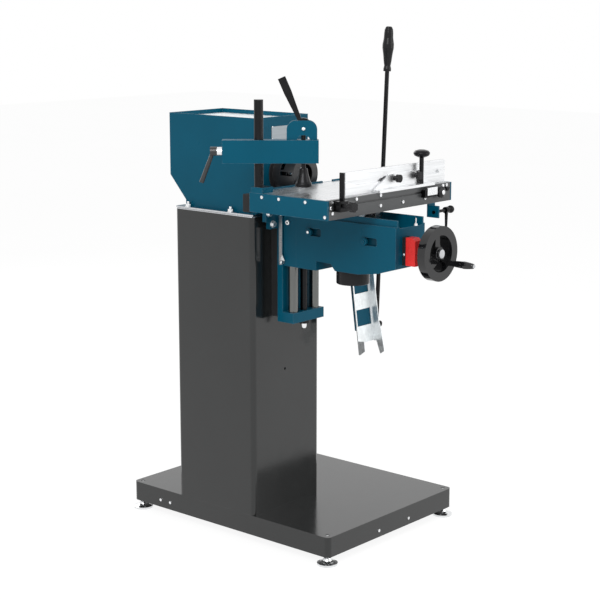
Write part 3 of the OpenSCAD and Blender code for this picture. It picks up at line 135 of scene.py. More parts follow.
# Radius to which the edges of each CAD node are rounded
SOFTENED = {
    "base_tray": 1.2 * MM, "motor_housing": 0.8 * MM, "housing_lid": 0.8 * MM, "knee_carrier": 1.0 * MM,
    "slide_plate": 1.0 * MM, "table_plates": 0.7 * MM, "table_top": 0.6 * MM, "front_rail": 0.7 * MM,
    "clamp_arm": 0.7 * MM, "fence": 0.5 * MM, "fence_bracket": 0.6 * MM, "lever_hanger": 0.5 * MM,
    "hanger_arm": 0.8 * MM, "chuck_guard": 0.7 * MM, "switch_flap": 1.2 * MM, "switch_base": 0.8 * MM,
    "stop_bar": 0.6 * MM, "cam_lever": 0.8 * MM, "slide_top_bracket": 0.8 * MM, "knee_cap": 1.5 * MM,
    "handwheel": 2.0 * MM, "lever_gimbal": 0.8 * MM, "carriage": 0.8 * MM, "stop_knob": 1.0 * MM,
    "fence_screw": 0.8 * MM, "presser": 0.8 * MM, "arm_lock_lever": 1.0 * MM,
}
PLATE_EDGE = 0.8 * MM
POST_EDGE = 0.8 * MM
KNEE_EDGE = 0.9 * MM
COLUMN_EDGE = 0.8 * MM
COLUMN_FOLD = 3.0 * MM
COLUMN_FOLD_SEGMENTS = 4
RIM_WIDTH = 12.0 * MM
POST_BLOCK_HEIGHT = 15.5 * MM

# Groove along the rail's front and slot for the chuck's key, as the low and high corners of each
CUTS = {
    "front_rail": [((-0.400, -0.507, 1.0515), (0.108, -0.501, 1.0560))],
    "chuck_guard": [((-0.232, -0.190, 1.0905), (-0.205, -0.143, 1.1015))],
}

# Angles that shading and bevels go by
SMOOTH_ANGLE = math.radians(40.0)
ROUNDED_ANGLE = math.radians(35.0)
TURNED_ANGLE = math.radians(40.0)
FLAT_ANGLE = math.radians(0.4)

# Gaps below which points and heights count as the same
MERGE_GAP = 0.00002
SAME_HEIGHT = 0.0001

# A face lies level where its normal's Z is above the first, and stands where it is below the second
LEVEL = 0.95
UPRIGHT = 0.8

# Colours
PETROL = (0.0008, 0.078, 0.132)
# Paler colours for outer edges: handling wear, and a painted highlight along the edges
RUBBED_AND_HIGHLIT_ENAMEL = (0.42, 0.50, 0.54, 1.0)
RUBBED_AND_HIGHLIT_COATING = (0.30, 0.31, 0.33, 1.0)
RUBBED_AND_HIGHLIT_PLASTIC = (0.45, 0.45, 0.46, 1.0)
INK = (0.02, 0.02, 0.02, 1.0)

# Lines of the height scale: pitch, thickness, and the Y that each kind reaches to
GRADUATIONS = [
    (1.0 * MM, 0.25 * MM, -0.1615),
    (5.0 * MM, 0.35 * MM, -0.1585),
    (10.0 * MM, 0.45 * MM, -0.1555),
]


# Finishes
class Wire:
    """One output socket of a finish, with arithmetic."""

    def __init__(self, finish, socket):
        self.finish = finish
        self.socket = socket

    def __add__(self, other):
        return self.finish.math("ADD", self, other)

    def __radd__(self, other):
        return self.finish.math("ADD", other, self)

    def __sub__(self, other):
        return self.finish.math("SUBTRACT", self, other)

    def __rsub__(self, other):
        return self.finish.math("SUBTRACT", other, self)

    def __mul__(self, other):
        return self.finish.math("MULTIPLY", self, other)

    def __rmul__(self, other):
        return self.finish.math("MULTIPLY", other, self)

    def part(self, index):
        """The X, Y or Z part of a vector."""
        return self.finish.node("ShaderNodeSeparateXYZ", {}, {0: self}, index)


class Finish:
    """The node tree of a material, or of the world."""

    def __init__(self, owner, output="ShaderNodeOutputMaterial"):
        owner.use_nodes = True
        self.owner = owner
        self.tree = owner.node_tree
        self.tree.nodes.clear()
        self.output = self.tree.nodes.new(output)

    def node(self, kind, settings, sockets, out=0):
        """Adds a node with its settings, and with values or links on its sockets."""
        node = self.tree.nodes.new(kind)
        for name, value in settings.items():
            if name == "stops":
                self.set_stops(node.color_ramp, value)
            else:
                setattr(node, name, value)
        for key, value in sockets.items():
            if isinstance(value, Wire):
                self.tree.links.new(value.socket, node.inputs[key])
            else:
                node.inputs[key].default_value = value
        return Wire(self, node.outputs[out])

    def set_stops(self, ramp, stops):
        while len(ramp.elements) < len(stops):
            ramp.elements.new(0.5)
        for element, (place, value) in zip(ramp.elements, stops):
            element.position = place
            element.color = value if len(value) == 4 else (*value, 1.0)

    def math(self, operation, first, second=0.0):
        return self.node("ShaderNodeMath", {"operation": operation}, {0: first, 1: second})

    def place(self, stretch=(1.0, 1.0, 1.0)):
        """The piece's own coordinates, scaled along each axis."""
        point = self.node("ShaderNodeTexCoord", {}, {}, "Object")
        return self.node("ShaderNodeMapping", {}, {"Vector": point, "Scale": stretch})

    def noise(self, scale, detail=3.0, roughness=0.55, stretch=(1.0, 1.0, 1.0)):
        sockets = {"Vector": self.place(stretch), "Scale": scale, "Detail": detail, "Roughness": roughness}
        return self.node("ShaderNodeTexNoise", {}, sockets, "Fac")

    def ramp(self, value, stops):
        return self.node("ShaderNodeValToRGB", {"stops": stops}, {"Fac": value})

    def tone(self, value, colour, darkest, lightest, margin=0.3):
        """One colour that goes from its darkest to its lightest share as a pattern's value rises."""
        return self.ramp(value, [(margin, shade(colour, darkest)), (1.0 - margin, shade(colour, lightest))])

    def step(self, value, low, high):
        """Goes from 0 to 1 as a value goes from low to high."""
        sockets = {"Value": value, "From Min": low, "From Max": high}
        return self.node("ShaderNodeMapRange", {"clamp": True}, sockets)

    def mix(self, factor, first, second):
        settings = {"data_type": "RGBA", "blend_type": "MIX"}
        return self.node("ShaderNodeMix", settings, {0: factor, 6: first, 7: second}, 2)

    def edges(self, radius):
        """Near 1 on an outer edge and 0 on a flat face."""
        rounded = self.node("ShaderNodeBevel", {"samples": 4}, {"Radius": radius})
        flat = self.node("ShaderNodeNewGeometry", {}, {}, "True Normal")
        settings = {"operation": "DOT_PRODUCT"}
        cosine = self.node("ShaderNodeVectorMath", settings, {0: rounded, 1: flat}, "Value")
        return self.step(1.0 - cosine, low=0.02, high=0.22)

    def worn_and_highlit_edges(self, radius, scale, detail, low, high):
        """Outer edges in noise patches: handling wear, and a painted highlight along the edges."""
        return self.edges(radius) * self.step(self.noise(scale, detail), low, high)

    def bump(self, height, depth):
        return self.node("ShaderNodeBump", {}, {"Height": height, "Distance": depth, "Strength": 1.0})

    def seen(self):
        """1 for rays from the camera, from reflections and through glass, and 0 for light on the object."""
        camera = self.node("ShaderNodeLightPath", {}, {}, "Is Camera Ray")
        glossy = self.node("ShaderNodeLightPath", {}, {}, "Is Glossy Ray")
        clear = self.node("ShaderNodeLightPath", {}, {}, "Is Transmission Ray")
        return self.math("MAXIMUM", self.math("MAXIMUM", camera, glossy), clear)

    def close(self, shader):
        self.tree.links.new(shader.socket, self.output.inputs["Surface"])
        return self.owner

    def surface(self, sockets):
        return self.close(self.node("ShaderNodeBsdfPrincipled", {}, sockets))


def new_finish(name):
    return Finish(bpy.data.materials.new(name))


def shade(colour, factor):
    """A colour made darker or lighter, and opaque."""
    return (*[min(1.0, channel * factor) for channel in colour], 1.0)


def gloss_paint(name, colour, edge_highlight_and_wear):
    """Sprayed enamel: faint cloudy tone, orange peel, and paler edges that are partly wear and partly a
    painted highlight.
    """
    f = new_finish(name)
    cloud = f.noise(scale=5.0, detail=4.0)
    smear = f.noise(scale=38.0, detail=5.0, roughness=0.6, stretch=(1.0, 1.0, 0.35))
    specks = f.step(f.noise(scale=900.0, detail=2.0), low=0.70, high=0.76)
    toned = f.mix(specks * 0.25, f.tone(cloud, colour, darkest=0.93, lightest=1.07), shade(colour, 1.5))
    # Paler edges in patches: handling wear, and a painted highlight
    worn_and_highlit = f.worn_and_highlit_edges(radius=0.0012, scale=60.0, detail=4.0, low=0.30, high=0.62)
    skin = f.noise(scale=420.0, detail=2.0)
    return f.surface({
        "Base Color": f.mix(worn_and_highlit * edge_highlight_and_wear, toned, RUBBED_AND_HIGHLIT_ENAMEL),
        "Roughness": f.step(smear, low=0.25, high=0.75) * 0.10 + 0.26,
        "Normal": f.bump(skin, 0.00003),
        "Specular IOR Level": 0.10,
        "Coat Weight": 0.03,
        "Coat Roughness": 0.12,
    })


def powder_coat(name, colour, rough, edge_highlight_and_wear=0.25, pimple_depth=0.00005):
    """Powder coating: fine pimples, and paler edges that are partly wear and partly a painted highlight."""
    f = new_finish(name)
    cloud = f.noise(scale=4.0, detail=5.0)
    pimples = f.noise(scale=650.0, detail=3.0, roughness=0.5)
    # Paler edges in patches: handling wear, and a painted highlight
    worn_and_highlit = f.worn_and_highlit_edges(radius=0.0010, scale=45.0, detail=4.0, low=0.35, high=0.65)
    tone = f.tone(cloud, colour, darkest=0.85, lightest=1.18)
    return f.surface({
        "Base Color": f.mix(worn_and_highlit * edge_highlight_and_wear, tone, RUBBED_AND_HIGHLIT_COATING),
        "Roughness": f.step(f.noise(scale=24.0, detail=4.0), low=0.2, high=0.8) * 0.12 + rough,
        "Normal": f.bump(pimples, pimple_depth),
        "Coat Weight": 0.2,
        "Coat Roughness": 0.15,
    })


def ground_metal(name, colour, rough, stretch, lines=260.0):
    """Ground or drawn metal: fine lines along one direction, with faint handling marks."""
    f = new_finish(name)
    marks = f.noise(scale=lines, detail=4.0, roughness=0.65, stretch=stretch)
    dull = f.step(f.noise(scale=9.0, detail=5.0, roughness=0.6), low=0.45, high=0.75)
    tone = f.tone(marks, colour, darkest=0.86, lightest=1.10, margin=0.25)
    return f.surface({
        "Base Color": f.mix(dull * 0.12, tone, shade(colour, 0.62)),
        "Metallic": 1.0,
        "Roughness": f.step(marks, low=0.2, high=0.8) * 0.14 + rough + dull * 0.06,
        "Normal": f.bump(marks, 0.00002),
    })


def plated_metal(name, colour, rough, mottling):
    """Zinc, chrome or burnished plating with a soft mottled tone."""
    f = new_finish(name)
    mottle = f.noise(scale=mottling, detail=5.0, roughness=0.6)
    fine = f.noise(scale=mottling * 14.0, detail=2.0)
    return f.surface({
        "Base Color": f.tone(mottle, colour, darkest=0.88, lightest=1.08, margin=0.25),
        "Metallic": 1.0,
        "Roughness": f.step(mottle, low=0.2, high=0.8) * 0.10 + rough,
        "Normal": f.bump(fine, 0.00001),
    })


def spangled_metal(name, colour, rough):
    """Hot-dip galvanised sheet with its zinc flowers."""
    f = new_finish(name)
    sockets = {"Vector": f.place(), "Scale": 110.0}
    flowers = f.node("ShaderNodeTexVoronoi", {"feature": "F1"}, sockets, "Color").part(0)
    frost = f.noise(scale=420.0, detail=3.0, roughness=0.6, stretch=(1.0, 1.0, 0.4))
    return f.surface({
        "Base Color": f.tone(flowers, colour, darkest=0.94, lightest=1.04, margin=0.1),
        "Metallic": 0.85,
        "Roughness": flowers * 0.10 + frost * 0.08 + rough,
        "Normal": f.bump(frost, 0.00002),
    })


def moulded(name, colour, rough, grain=700.0, depth=0.00004, wear_and_highlight=0.15, shine=0.20):
    """Moulded plastic or rubber with a fine grain, and paler edges that are partly wear and partly a painted
    highlight.
    """
    f = new_finish(name)
    skin = f.noise(scale=grain, detail=3.0, roughness=0.5)
    cloud = f.noise(scale=14.0, detail=4.0)
    # Paler edges in patches: handling wear, and a painted highlight
    worn_and_highlit = f.worn_and_highlit_edges(radius=0.0012, scale=70.0, detail=3.0, low=0.40, high=0.70)
    tone = f.tone(cloud, colour, darkest=0.90, lightest=1.12)
    return f.surface({
        "Base Color": f.mix(worn_and_highlit * wear_and_highlight, tone, RUBBED_AND_HIGHLIT_PLASTIC),
        "Roughness": f.step(f.noise(scale=30.0, detail=3.0), low=0.2, high=0.8) * 0.08 + rough,
        "Normal": f.bump(skin, depth),
        "Specular IOR Level": shine,
    })


def cast_metal(name, colour, rough):
    """Sand-cast iron under a thin coat of paint."""
    f = new_finish(name)
    grit = f.noise(scale=260.0, detail=5.0, roughness=0.65)
    return f.surface({
        "Base Color": f.tone(grit, colour, darkest=0.8, lightest=1.2),
        "Metallic": 0.2,
        "Roughness": grit * 0.15 + rough,
        "Normal": f.bump(grit, 0.0002),
    })


def scale_strip(name):
    """Steel strip with black graduations along Z."""
    f = new_finish(name)
    height = f.place().part(2)
    across = f.place().part(1)

    def rule(pitch, thickness, reach):
        phase = f.math("FRACT", height * (1.0 / pitch))
        return f.math("LESS_THAN", phase, thickness / pitch) * f.math("LESS_THAN", across, reach)

    ink = rule(*GRADUATIONS[0])
    for graduation in GRADUATIONS[1:]:
        ink = f.math("MAXIMUM", ink, rule(*graduation))
    brushed = f.noise(scale=500.0, detail=3.0, roughness=0.6, stretch=(1.0, 1.0, 0.05))
    steel = f.ramp(brushed, [(0.2, (0.66, 0.67, 0.69)), (0.8, (0.82, 0.83, 0.85))])
    return f.surface({
        "Base Color": f.mix(ink, steel, INK),
        "Metallic": 1.0 - ink,
        "Roughness": brushed * 0.12 + 0.26,
        "Normal": f.bump(brushed, 0.00001),
    })


BLACK_COAT = (0.010, 0.011, 0.011)
BLACK_RESIN = (0.006, 0.006, 0.007)
ALONG_X = (0.02, 1.0, 1.0)
FINISHES = {
    "gloss_black_paint": powder_coat(
        "gloss black powder coat", BLACK_COAT, rough=0.10, pimple_depth=0.000012,
    ),
    "petrol_paint": gloss_paint("petrol enamel", PETROL, edge_highlight_and_wear=0.55),
    "zinc_plate": plated_metal("bright zinc plate", (0.86, 0.87, 0.88), rough=0.22, mottling=180.0),
    "chrome_foot": plated_metal("chromed foot", (0.78, 0.79, 0.80), rough=0.14, mottling=60.0),
    "polished_steel": ground_metal("turned steel", (0.60, 0.61, 0.63), rough=0.16, stretch=(1.0, 1.0, 0.04)),
    "ground_steel": ground_metal(
        "ground table steel", (0.80, 0.81, 0.82), rough=0.20, stretch=(0.03, 1.0, 1.0),
    ),
    "motor_casting": cast_metal("painted motor casting", (0.10, 0.11, 0.12), rough=0.5),
    "black_sheet": powder_coat("black sheet enamel", (0.016, 0.016, 0.017), rough=0.30, edge_highlight_and_wear=0.35),
    "black_oxide": plated_metal("burnished black steel", (0.022, 0.022, 0.023), rough=0.24, mottling=50.0),
    "rail_paint": powder_coat("dark grey rail enamel", (0.050, 0.053, 0.055), rough=0.30, edge_highlight_and_wear=0.35),
    "fence_aluminium": ground_metal(
        "drawn aluminium", (0.78, 0.79, 0.80), rough=0.28, stretch=ALONG_X, lines=420.0,
    ),
    "black_plastic": moulded("black plastic", (0.011, 0.011, 0.012), rough=0.20),
    "switch_black": moulded("switch plastic", (0.014, 0.014, 0.015), rough=0.45),
    "flap_red": moulded(
        "red flap plastic", (0.70, 0.030, 0.028), rough=0.24, grain=900.0, depth=0.00002, wear_and_highlight=0.05,
    ),
    "button_green": moulded("green button plastic", (0.02, 0.24, 0.06), rough=0.28),
    "button_red": moulded("red button plastic", (0.55, 0.015, 0.015), rough=0.28),
    "galvanised_sheet": spangled_metal("galvanised sheet", (0.84, 0.87, 0.88), rough=0.28),
    "gear_steel": ground_metal("cut gear steel", (0.42, 0.42, 0.43), rough=0.30, stretch=(1.0, 1.0, 1.0)),
}
GRADUATED = scale_strip("graduated strip")
BARE_PLATE = ground_metal("bare rating plate", (0.30, 0.33, 0.35), rough=0.34, stretch=ALONG_X)
GLOSS_BLACK = moulded(
    "polished black resin", BLACK_RESIN, rough=0.04, grain=60.0, depth=0.00001, wear_and_highlight=0.04, shine=0.55,
)
# Petrol at 42 per cent: painted shade for the faces inside the knee's recesses
PAINTED_SHADE_PETROL = gloss_paint("petrol enamel darkened as painted shade in the recesses", shade(PETROL, 0.42)[:3], edge_highlight_and_wear=0.0)
COLUMN_STEEL = ground_metal(
    "hardened column steel", (0.16, 0.165, 0.16), rough=0.12, stretch=(1.0, 1.0, 0.02),
)
FINISH_OF = {
    "handwheel": GLOSS_BLACK,
    "crank_grip": GLOSS_BLACK,
    "guide_columns": COLUMN_STEEL,
    "height_scale": GRADUATED,
    "lift_screw": FINISHES["black_oxide"],
    "housing_lid": FINISHES["galvanised_sheet"],
}
for node, piece in frame["nodes"].items():
    finish = FINISH_OF.get(node, FINISHES[SLOT_OF[node]])
    piece.data.materials.clear()
    piece.data.materials.append(finish)


# Shaping tools
def only(piece):
    """Selects one piece and nothing else."""
    bpy.ops.object.select_all(action="DESELECT")
    piece.select_set(True)
    bpy.context.view_layer.objects.active = piece


def apply_place(piece):
    """Puts a piece's place into its mesh."""
    only(piece)
    bpy.ops.object.transform_apply(location=True, rotation=True, scale=True)


def modify(piece, kind, **settings):
    """Adds a modifier and applies it."""
    only(piece)
    modifier = piece.modifiers.new(kind.lower(), kind)
    for name, value in settings.items():
        setattr(modifier, name, value)
    bpy.ops.object.modifier_apply(modifier=modifier.name)


def round_edges(piece, width, angle=ROUNDED_ANGLE):
    """Rounds the edges that are sharper than an angle."""
    modify(piece, "BEVEL", width=width, segments=2, limit_method="ANGLE", angle_limit=angle)


def evened(piece):
    """Smooth shading in which the large flat faces stay flat."""
    only(piece)
    bpy.ops.object.shade_smooth_by_angle(angle=SMOOTH_ANGLE)
    modify(piece, "WEIGHTED_NORMAL", mode="FACE_AREA", weight=100, keep_sharp=True)


def finish_piece(piece, name, body, slot):
    """Names, shades and dresses a new piece, and lets it ride on a body."""
    apply_place(piece)
    piece.name = name
    piece.data.name = name
    evened(piece)
    piece.data.materials.clear()
    piece.data.materials.append(FINISHES[slot])
    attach(piece, body)
    return piece


def box_piece(low, high, bevel):
    """A block between two corners, with rounded edges where a bevel is given."""
    low, high = Vector(low), Vector(high)
    bpy.ops.object.select_all(action="DESELECT")
    bpy.ops.mesh.primitive_cube_add(size=1.0, location=(low + high) / 2)
    piece = bpy.context.object
    piece.scale = high - low
    apply_place(piece)
    if bevel > 0.0:
        round_edges(piece, bevel)
    return piece


def cut_out(piece, low, high, bevel=0.0):
    """Cuts a block between two corners out of a piece."""
    cutter = box_piece(low, high, bevel)
    modify(piece, "BOOLEAN", operation="DIFFERENCE", solver="EXACT", object=cutter)
    bpy.data.objects.remove(cutter)


def merged_copy(node):
    """A copy of a CAD node with its loose triangles joined into whole faces."""
    source = frame["nodes"][node]
    piece = bpy.data.objects.new(node + "_rounded", source.data.copy())
    bpy.context.scene.collection.objects.link(piece)
    only(piece)
    bpy.ops.object.mode_set(mode="EDIT")
    bpy.ops.mesh.select_all(action="SELECT")
    bpy.ops.mesh.remove_doubles(threshold=MERGE_GAP)
    bpy.ops.mesh.dissolve_limited(angle_limit=FLAT_ANGLE, use_dissolve_boundaries=False)
    bpy.ops.object.mode_set(mode="OBJECT")
    return piece


def stand_for(piece, node):
    """Lets a piece take a CAD node's place."""
    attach(piece, BODY_OF[node])
    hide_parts(node)


def softened(node, width):
    """A copy of a CAD node whose edges are rounded, in place of the sharp one."""
    piece = merged_copy(node)
    for low, high in CUTS.get(node, ()):
        cut_out(piece, low, high)
    round_edges(piece, width)
    evened(piece)
    stand_for(piece, node)
    return piece


def turned(name, body, slot, place, axis, profile, count=40, bevel=0.3 * MM):
    """A turned piece, or a hexagonal one with a count of six.

    Each point of the profile is a radius and a distance along the axis, in millimetres.
    """
    steps = [(radius * MM, depth * MM) for radius, depth in profile]
    radius, depth = steps[0]
    bpy.ops.object.select_all(action="DESELECT")
    bpy.ops.mesh.primitive_circle_add(vertices=count, radius=radius, fill_type="NGON", location=(0, 0, depth))
    piece = bpy.context.object
    bpy.ops.object.transform_apply(location=True)
    bpy.ops.object.mode_set(mode="EDIT")
    bpy.ops.mesh.select_all(action="SELECT")
    for wider, further in steps[1:]:
        bpy.ops.mesh.extrude_region_move(TRANSFORM_OT_translate={"value": (0, 0, further - depth)})
        share = wider / radius
        bpy.ops.transform.resize(value=(share, share, 1.0), center_override=(0, 0, further))
        radius, depth = wider, further
    bpy.ops.mesh.select_all(action="SELECT")
    bpy.ops.mesh.normals_make_consistent(inside=False)
    bpy.ops.object.mode_set(mode="OBJECT")
    if bevel > 0.0:
        round_edges(piece, bevel, TURNED_ANGLE)
    piece.rotation_euler = Vector(axis).to_track_quat("Z", "Y").to_euler()
    piece.location = place
    return finish_piece(piece, name, body, slot)


def block(name, body, slot, low, high, bevel=0.6 * MM):
    """A finished block between two corners."""
    return finish_piece(box_piece(low, high, bevel), name, body, slot)


# Pieces that stand in for CAD nodes
def on_rim(point, low, high):
    """Whether a point lies near the outer outline of a box, as seen from above."""
    return min(point.x - low[0], high[0] - point.x, point.y - low[1], high[1] - point.y) < RIM_WIDTH


def bare_steel_and_painted_highlight(piece, faces):
    """Gives faces bright steel: cut edges that aren't painted, and a painted highlight where the steel stands
    in for reflected light.
    """
    piece.data.materials.append(FINISHES["polished_steel"])
    for face in faces:
        face.material_index = 1


def rounded_column():
    """The column with its sheet bent over along the top, as it is folded, and bright steel on the fold as a
    painted highlight.
    """
    piece = merged_copy("column")
    low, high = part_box("column")
    top = high[2]
    bpy.ops.object.mode_set(mode="EDIT")
    bpy.ops.mesh.select_all(action="DESELECT")
    bpy.ops.object.mode_set(mode="OBJECT")
    for edge in piece.data.edges:
        first, last = [piece.data.vertices[index].co for index in edge.vertices]
        at_top = min(first.z, last.z) > top - SAME_HEIGHT
        edge.select = at_top and on_rim((first + last) / 2, low, high)
    bpy.ops.object.mode_set(mode="EDIT")
    bpy.ops.mesh.select_mode(type="EDGE")
    bpy.ops.mesh.bevel(offset=COLUMN_FOLD, segments=COLUMN_FOLD_SEGMENTS, affect="EDGES")
    bpy.ops.object.mode_set(mode="OBJECT")
    round_edges(piece, COLUMN_EDGE)
    evened(piece)
    # Bright steel on the fold is a painted highlight, for the light reflected along the column's top edge
    highlit_fold = [face for face in piece.data.polygons
            if face.center.z > top - COLUMN_FOLD and face.normal.z < LEVEL]
    bare_steel_and_painted_highlight(piece, highlit_fold)
    stand_for(piece, "column")


def recessed_knee():
    """The knee's box, with the two long recesses that its side plugs stand in, their insides darkened as
    painted shade.
    """
    piece = softened("knee_box", KNEE_EDGE)
    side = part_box("knee_box")[0][0]
    for y, z in PLUGS:
        low = (side - RECESS_OVERHANG, y - RECESS_TO_FRONT, z - RECESS_HALF_HEIGHT)
        high = (side + RECESS_DEPTH, y + RECESS_TO_REAR, z + RECESS_HALF_HEIGHT)
        cut_out(piece, low, high, RECESS_CORNER)
    evened(piece)
    # Faces inside the recesses take the darkened petrol as painted shade
    piece.data.materials.append(PAINTED_SHADE_PETROL)
    for face in piece.data.polygons:
        inside = 0.4 * MM < face.center.x - side < RECESS_DEPTH + 0.3 * MM
        if inside and any(in_recess(face.center, y, z) for y, z in PLUGS):
            face.material_index = 1


def in_recess(point, y, z):
    """Whether a point is within the outline of the recess round one plug."""
    middle = y + (RECESS_TO_REAR - RECESS_TO_FRONT) / 2
    half_length = (RECESS_TO_REAR + RECESS_TO_FRONT) / 2 + 0.5 * MM
    return abs(point.y - middle) < half_length and abs(point.z - z) < RECESS_HALF_HEIGHT + 0.2 * MM


def bright_plate():
    """The motor plate, whose cut edges are bright round the column's top."""
    piece = softened("motor_plate", PLATE_EDGE)
    low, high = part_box("motor_plate")
    cut = [face for face in piece.data.polygons
           if abs(face.normal.z) < UPRIGHT and on_rim(face.center, low, high)]
    bare_steel_and_painted_highlight(piece, cut)


def painted_post():
    """The clamp post, whose block is enamelled and whose bar is black."""
    piece = softened("clamp_post", POST_EDGE)
    piece.data.materials.append(FINISHES["petrol_paint"])
    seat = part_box("clamp_post")[0][2] + POST_BLOCK_HEIGHT
    for face in piece.data.polygons:
        if face.center.z < seat:
            face.material_index = 1


for node, width in SOFTENED.items():
    softened(node, width)
rounded_column()
recessed_knee()
bright_plate()
painted_post()


# Small pieces that the CAD model leaves out
def add_rating_plate():
    """The bare rating plate on the housing's front, and its four rivets."""
    front = HOUSING_FRONT_Y - PLATE_GAUGE
    low = (PLATE_LEFT, front, PLATE_BOTTOM)
    high = (PLATE_RIGHT, HOUSING_FRONT_Y, PLATE_TOP)
    plate = block("rating_plate", "frame", "galvanised_sheet", low, high, bevel=0.4 * MM)
    plate.data.materials[0] = BARE_PLATE
    rivet = [(2.2, 0.0), (2.0, 0.7), (1.2, 1.2)]
    places = [(x, front, z) for z in RIVET_ZS for x in RIVET_XS]
    for number, place in enumerate(places):
        turned(f"plate_rivet_{number + 1}", "frame", "zinc_plate", place, FRONT, rivet, count=16, bevel=0.0)


def add_bolts():
    """Hexagon bolts with their washers: beside the housing and on the slide's ears."""
    washer = [(10.0, 0.0), (10.0, 1.6)]
    head = [(8.6, 1.6), (8.6, 8.4), (7.4, 9.4)]
    shank = [(4.6, 9.4), (4.6, 15.5), (3.8, 16.3)]
    stud_left_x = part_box("column")[0][0] + STUD_INSET
    plate_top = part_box("motor_plate")[1][2]
    spots = [(x, y, plate_top) for x in (stud_left_x, STUD_RIGHT_X) for y in STUD_YS]
    for number, spot in enumerate(spots):
        turned(f"housing_washer_{number + 1}", "frame", "zinc_plate", spot, UP, washer, count=32)
        turned(f"housing_nut_{number + 1}", "frame", "zinc_plate", spot, UP, head, count=6)
        turned(f"housing_stud_{number + 1}", "frame", "zinc_plate", spot, UP, shank, count=20)
    for number, spot in enumerate(EAR_BOLTS):
        turned(f"ear_washer_{number + 1}", "frame", "zinc_plate", spot, FRONT, washer, count=32)
        turned(f"ear_bolt_{number + 1}", "frame", "zinc_plate", spot, FRONT, head, count=6)


def add_knee_details():
    """Plugs in the knee's side, and the screws, nut and pointer round the slide."""
    head = [(11.0, 0.0), (11.0, 7.0), (9.6, 8.2)]
    end = [(4.0, 8.2), (4.0, 10.6), (3.2, 11.2)]
    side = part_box("knee_box")[0][0]
    for number, (y, z) in enumerate(PLUGS):
        end_slot = "zinc_plate" if number == 0 else "petrol_paint"
        turned(f"side_plug_{number + 1}", "knee", "petrol_paint", (side, y, z), LEFT, head, count=6)
        turned(f"side_plug_end_{number + 1}", "knee", end_slot, (side, y, z), LEFT, end, count=20)

    nut = [(13.0, 0.0), (13.0, 9.0), (11.0, 10.5)]
    turned("lift_screw_nut", "frame", "zinc_plate", LIFT_SCREW_FOOT, -UP, nut, count=6)
    cap = [(8.6, 10.6), (8.6, 18.0), (6.6, 24.0), (3.0, 27.6)]
    turned("lift_screw_cap", "frame", "zinc_plate", LIFT_SCREW_FOOT, -UP, cap, count=32)
    screw = [(7.0, 0.0), (7.0, 6.5), (6.0, 7.5)]
    turned("carrier_cap_screw", "knee", "zinc_plate", CARRIER_CAP, LEFT, screw, count=32)
    # A thin black hexagon on the screw's head is painted shade, standing in for the dark inside of its hex
    # socket
    socket = [(3.4, 7.5), (3.4, 7.7)]
    turned("carrier_cap_screw_socket_shade", "knee", "black_oxide", CARRIER_CAP, LEFT, socket, count=6, bevel=0.0)
    small = [(3.6, 0.0), (3.6, 1.6), (2.4, 2.6)]
    for number, z in enumerate(SCALE_SCREW_ZS):
        place = (SCALE_SCREW_X, SCALE_SCREW_Y, z)
        turned(f"scale_screw_{number + 1}", "frame", "zinc_plate", place, LEFT, small, count=24)
    turned("switch_side_screw", "knee", "zinc_plate", SWITCH_SCREW, LEFT, small, count=24)
    mark = [(11.0, 0.0), (11.0, 1.2)]
    turned("pointer_plate", "knee", "galvanised_sheet", POINTER, LEFT, mark, count=3, bevel=0.2 * MM)


def add_table_details():
    """The rubber buffer at the table's rear, and what sits on the rail's front."""
    block("rear_buffer", "table", "switch_black", BUFFER_LOW, BUFFER_HIGH, bevel=3.0 * MM)
    block("rail_end_block", "table", "black_oxide", END_BLOCK_LOW, END_BLOCK_HIGH, bevel=1.0 * MM)
    block("rail_end_plate", "table", "zinc_plate", END_PLATE_LOW, END_PLATE_HIGH)
    knob = [(7.0, 0.0), (7.0, 6.0), (15.0, 8.0), (17.0, 12.0), (16.0, 17.0), (9.0, 20.0), (6.0, 20.5)]
    turned("rail_end_knob", "table", "black_plastic", END_KNOB, FRONT, knob)
    ring = [(6.6, 0.0), (6.6, 1.6), (5.6, 2.0)]
    turned("rail_end_knob_insert", "table", "zinc_plate", END_KNOB_TOP, FRONT, ring)
    screw = [(5.0, 0.0), (5.0, 3.0), (3.6, 4.4)]
    turned("rail_end_screw", "table", "zinc_plate", END_SCREW, FRONT, screw, count=24)
    turned("rail_left_screw", "table", "zinc_plate", LEFT_SCREW, FRONT, screw, count=24)
    stub = [(5.5, 0.0), (5.5, 9.0), (4.0, 10.0)]
    turned("rail_end_stub", "table", "black_oxide", END_STUB, FRONT, stub, count=24)


def add_clamp_details():
    """The lock lever's sleeve at the arm's rear end, and the two heads of the cam's pin."""
    sleeve = [(11.3, 0.0), (11.3, 13.4)]
    rear_end = POST - ARM_ALONG * LOCK_SLEEVE_REACH + UP * LOCK_SLEEVE_Z
    turned("arm_lock_sleeve", "arm_lock", "zinc_plate", rear_end, -ARM_ALONG, sleeve)
    pin = [(4.8, 0.0), (4.8, 2.0), (3.4, 3.2)]
    middle = POST + ARM_ALONG * CAM_PIN_REACH + UP * CAM_PIN_Z
    for number, side in enumerate([-1.0, 1.0]):
        outward = ARM_ACROSS * side
        place = middle + outward * CAM_PIN_SIDE
        turned(f"cam_pin_head_{number + 1}", "arm", "zinc_plate", place, outward, pin, count=24)


add_rating_plate()
add_bolts()
add_knee_details()
add_table_details()
add_clamp_details()


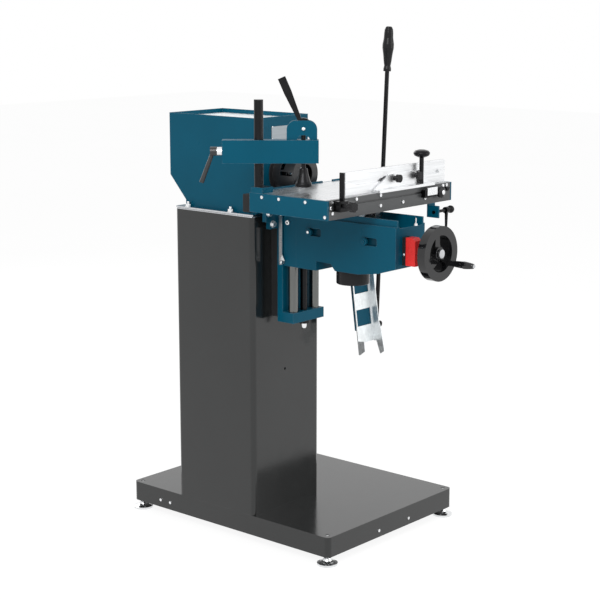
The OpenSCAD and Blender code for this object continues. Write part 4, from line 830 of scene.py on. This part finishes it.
# Camera, lamps, room and floor
def add_camera():
    """The camera at the photograph's viewing angle."""
    data = bpy.data.cameras.new("photo_camera")
    data.lens = FOCAL_LENGTH
    data.sensor_width = SENSOR_WIDTH
    data.clip_end = VIEW_END
    camera = bpy.data.objects.new("photo_camera", data)
    camera.location = CAMERA_PLACE
    camera.rotation_euler = (CAMERA_TILT, 0.0, CAMERA_TURN)
    bpy.context.scene.collection.objects.link(camera)
    bpy.context.scene.camera = camera


def add_lamp(name, place, target, size, power):
    """A round soft lamp that looks at a point."""
    data = bpy.data.lights.new(name, "AREA")
    data.shape = "DISK"
    data.size = size
    data.energy = power
    lamp = bpy.data.objects.new(name, data)
    lamp.location = place
    lamp.rotation_euler = (Vector(target) - Vector(place)).to_track_quat("-Z", "Y").to_euler()
    bpy.context.scene.collection.objects.link(lamp)


def add_room():
    """Pale room: white for the camera and for reflections, softer as a light."""
    world = bpy.data.worlds.new("studio")
    bpy.context.scene.world = world
    f = Finish(world, "ShaderNodeOutputWorld")
    soft = f.node("ShaderNodeBackground", {}, {"Color": WHITE, "Strength": ROOM_LIGHT})
    bright = f.node("ShaderNodeBackground", {}, {"Color": WHITE, "Strength": 1.0})
    f.close(f.node("ShaderNodeMixShader", {}, {0: f.seen(), 1: soft, 2: bright}))


def add_floor():
    """Pale floor that keeps the machine's shadow under the room's white."""
    bpy.ops.object.select_all(action="DESELECT")
    bpy.ops.mesh.primitive_plane_add(size=FLOOR_SIZE, location=(0.0, 0.0, 0.0))
    floor = bpy.context.object
    floor.name = "studio_floor"
    f = new_finish("pale studio floor")
    cloud = f.ramp(f.noise(scale=0.6, detail=3.0), [(0.3, (0.90, 0.90, 0.90)), (0.7, (0.94, 0.94, 0.94))])
    painted = f.node("ShaderNodeBsdfDiffuse", {}, {"Color": cloud})
    glow = f.node("ShaderNodeEmission", {}, {"Color": WHITE, "Strength": FLOOR_GLOW})
    share = f.seen() * FLOOR_GLOW_SHARE
    floor.data.materials.append(f.close(f.node("ShaderNodeMixShader", {}, {0: share, 1: painted, 2: glow})))


add_camera()
for name, (place, target, size, power) in LAMPS.items():
    add_lamp(name, place, target, size, power)
add_room()
add_floor()
bpy.context.scene.view_settings.view_transform = "Standard"
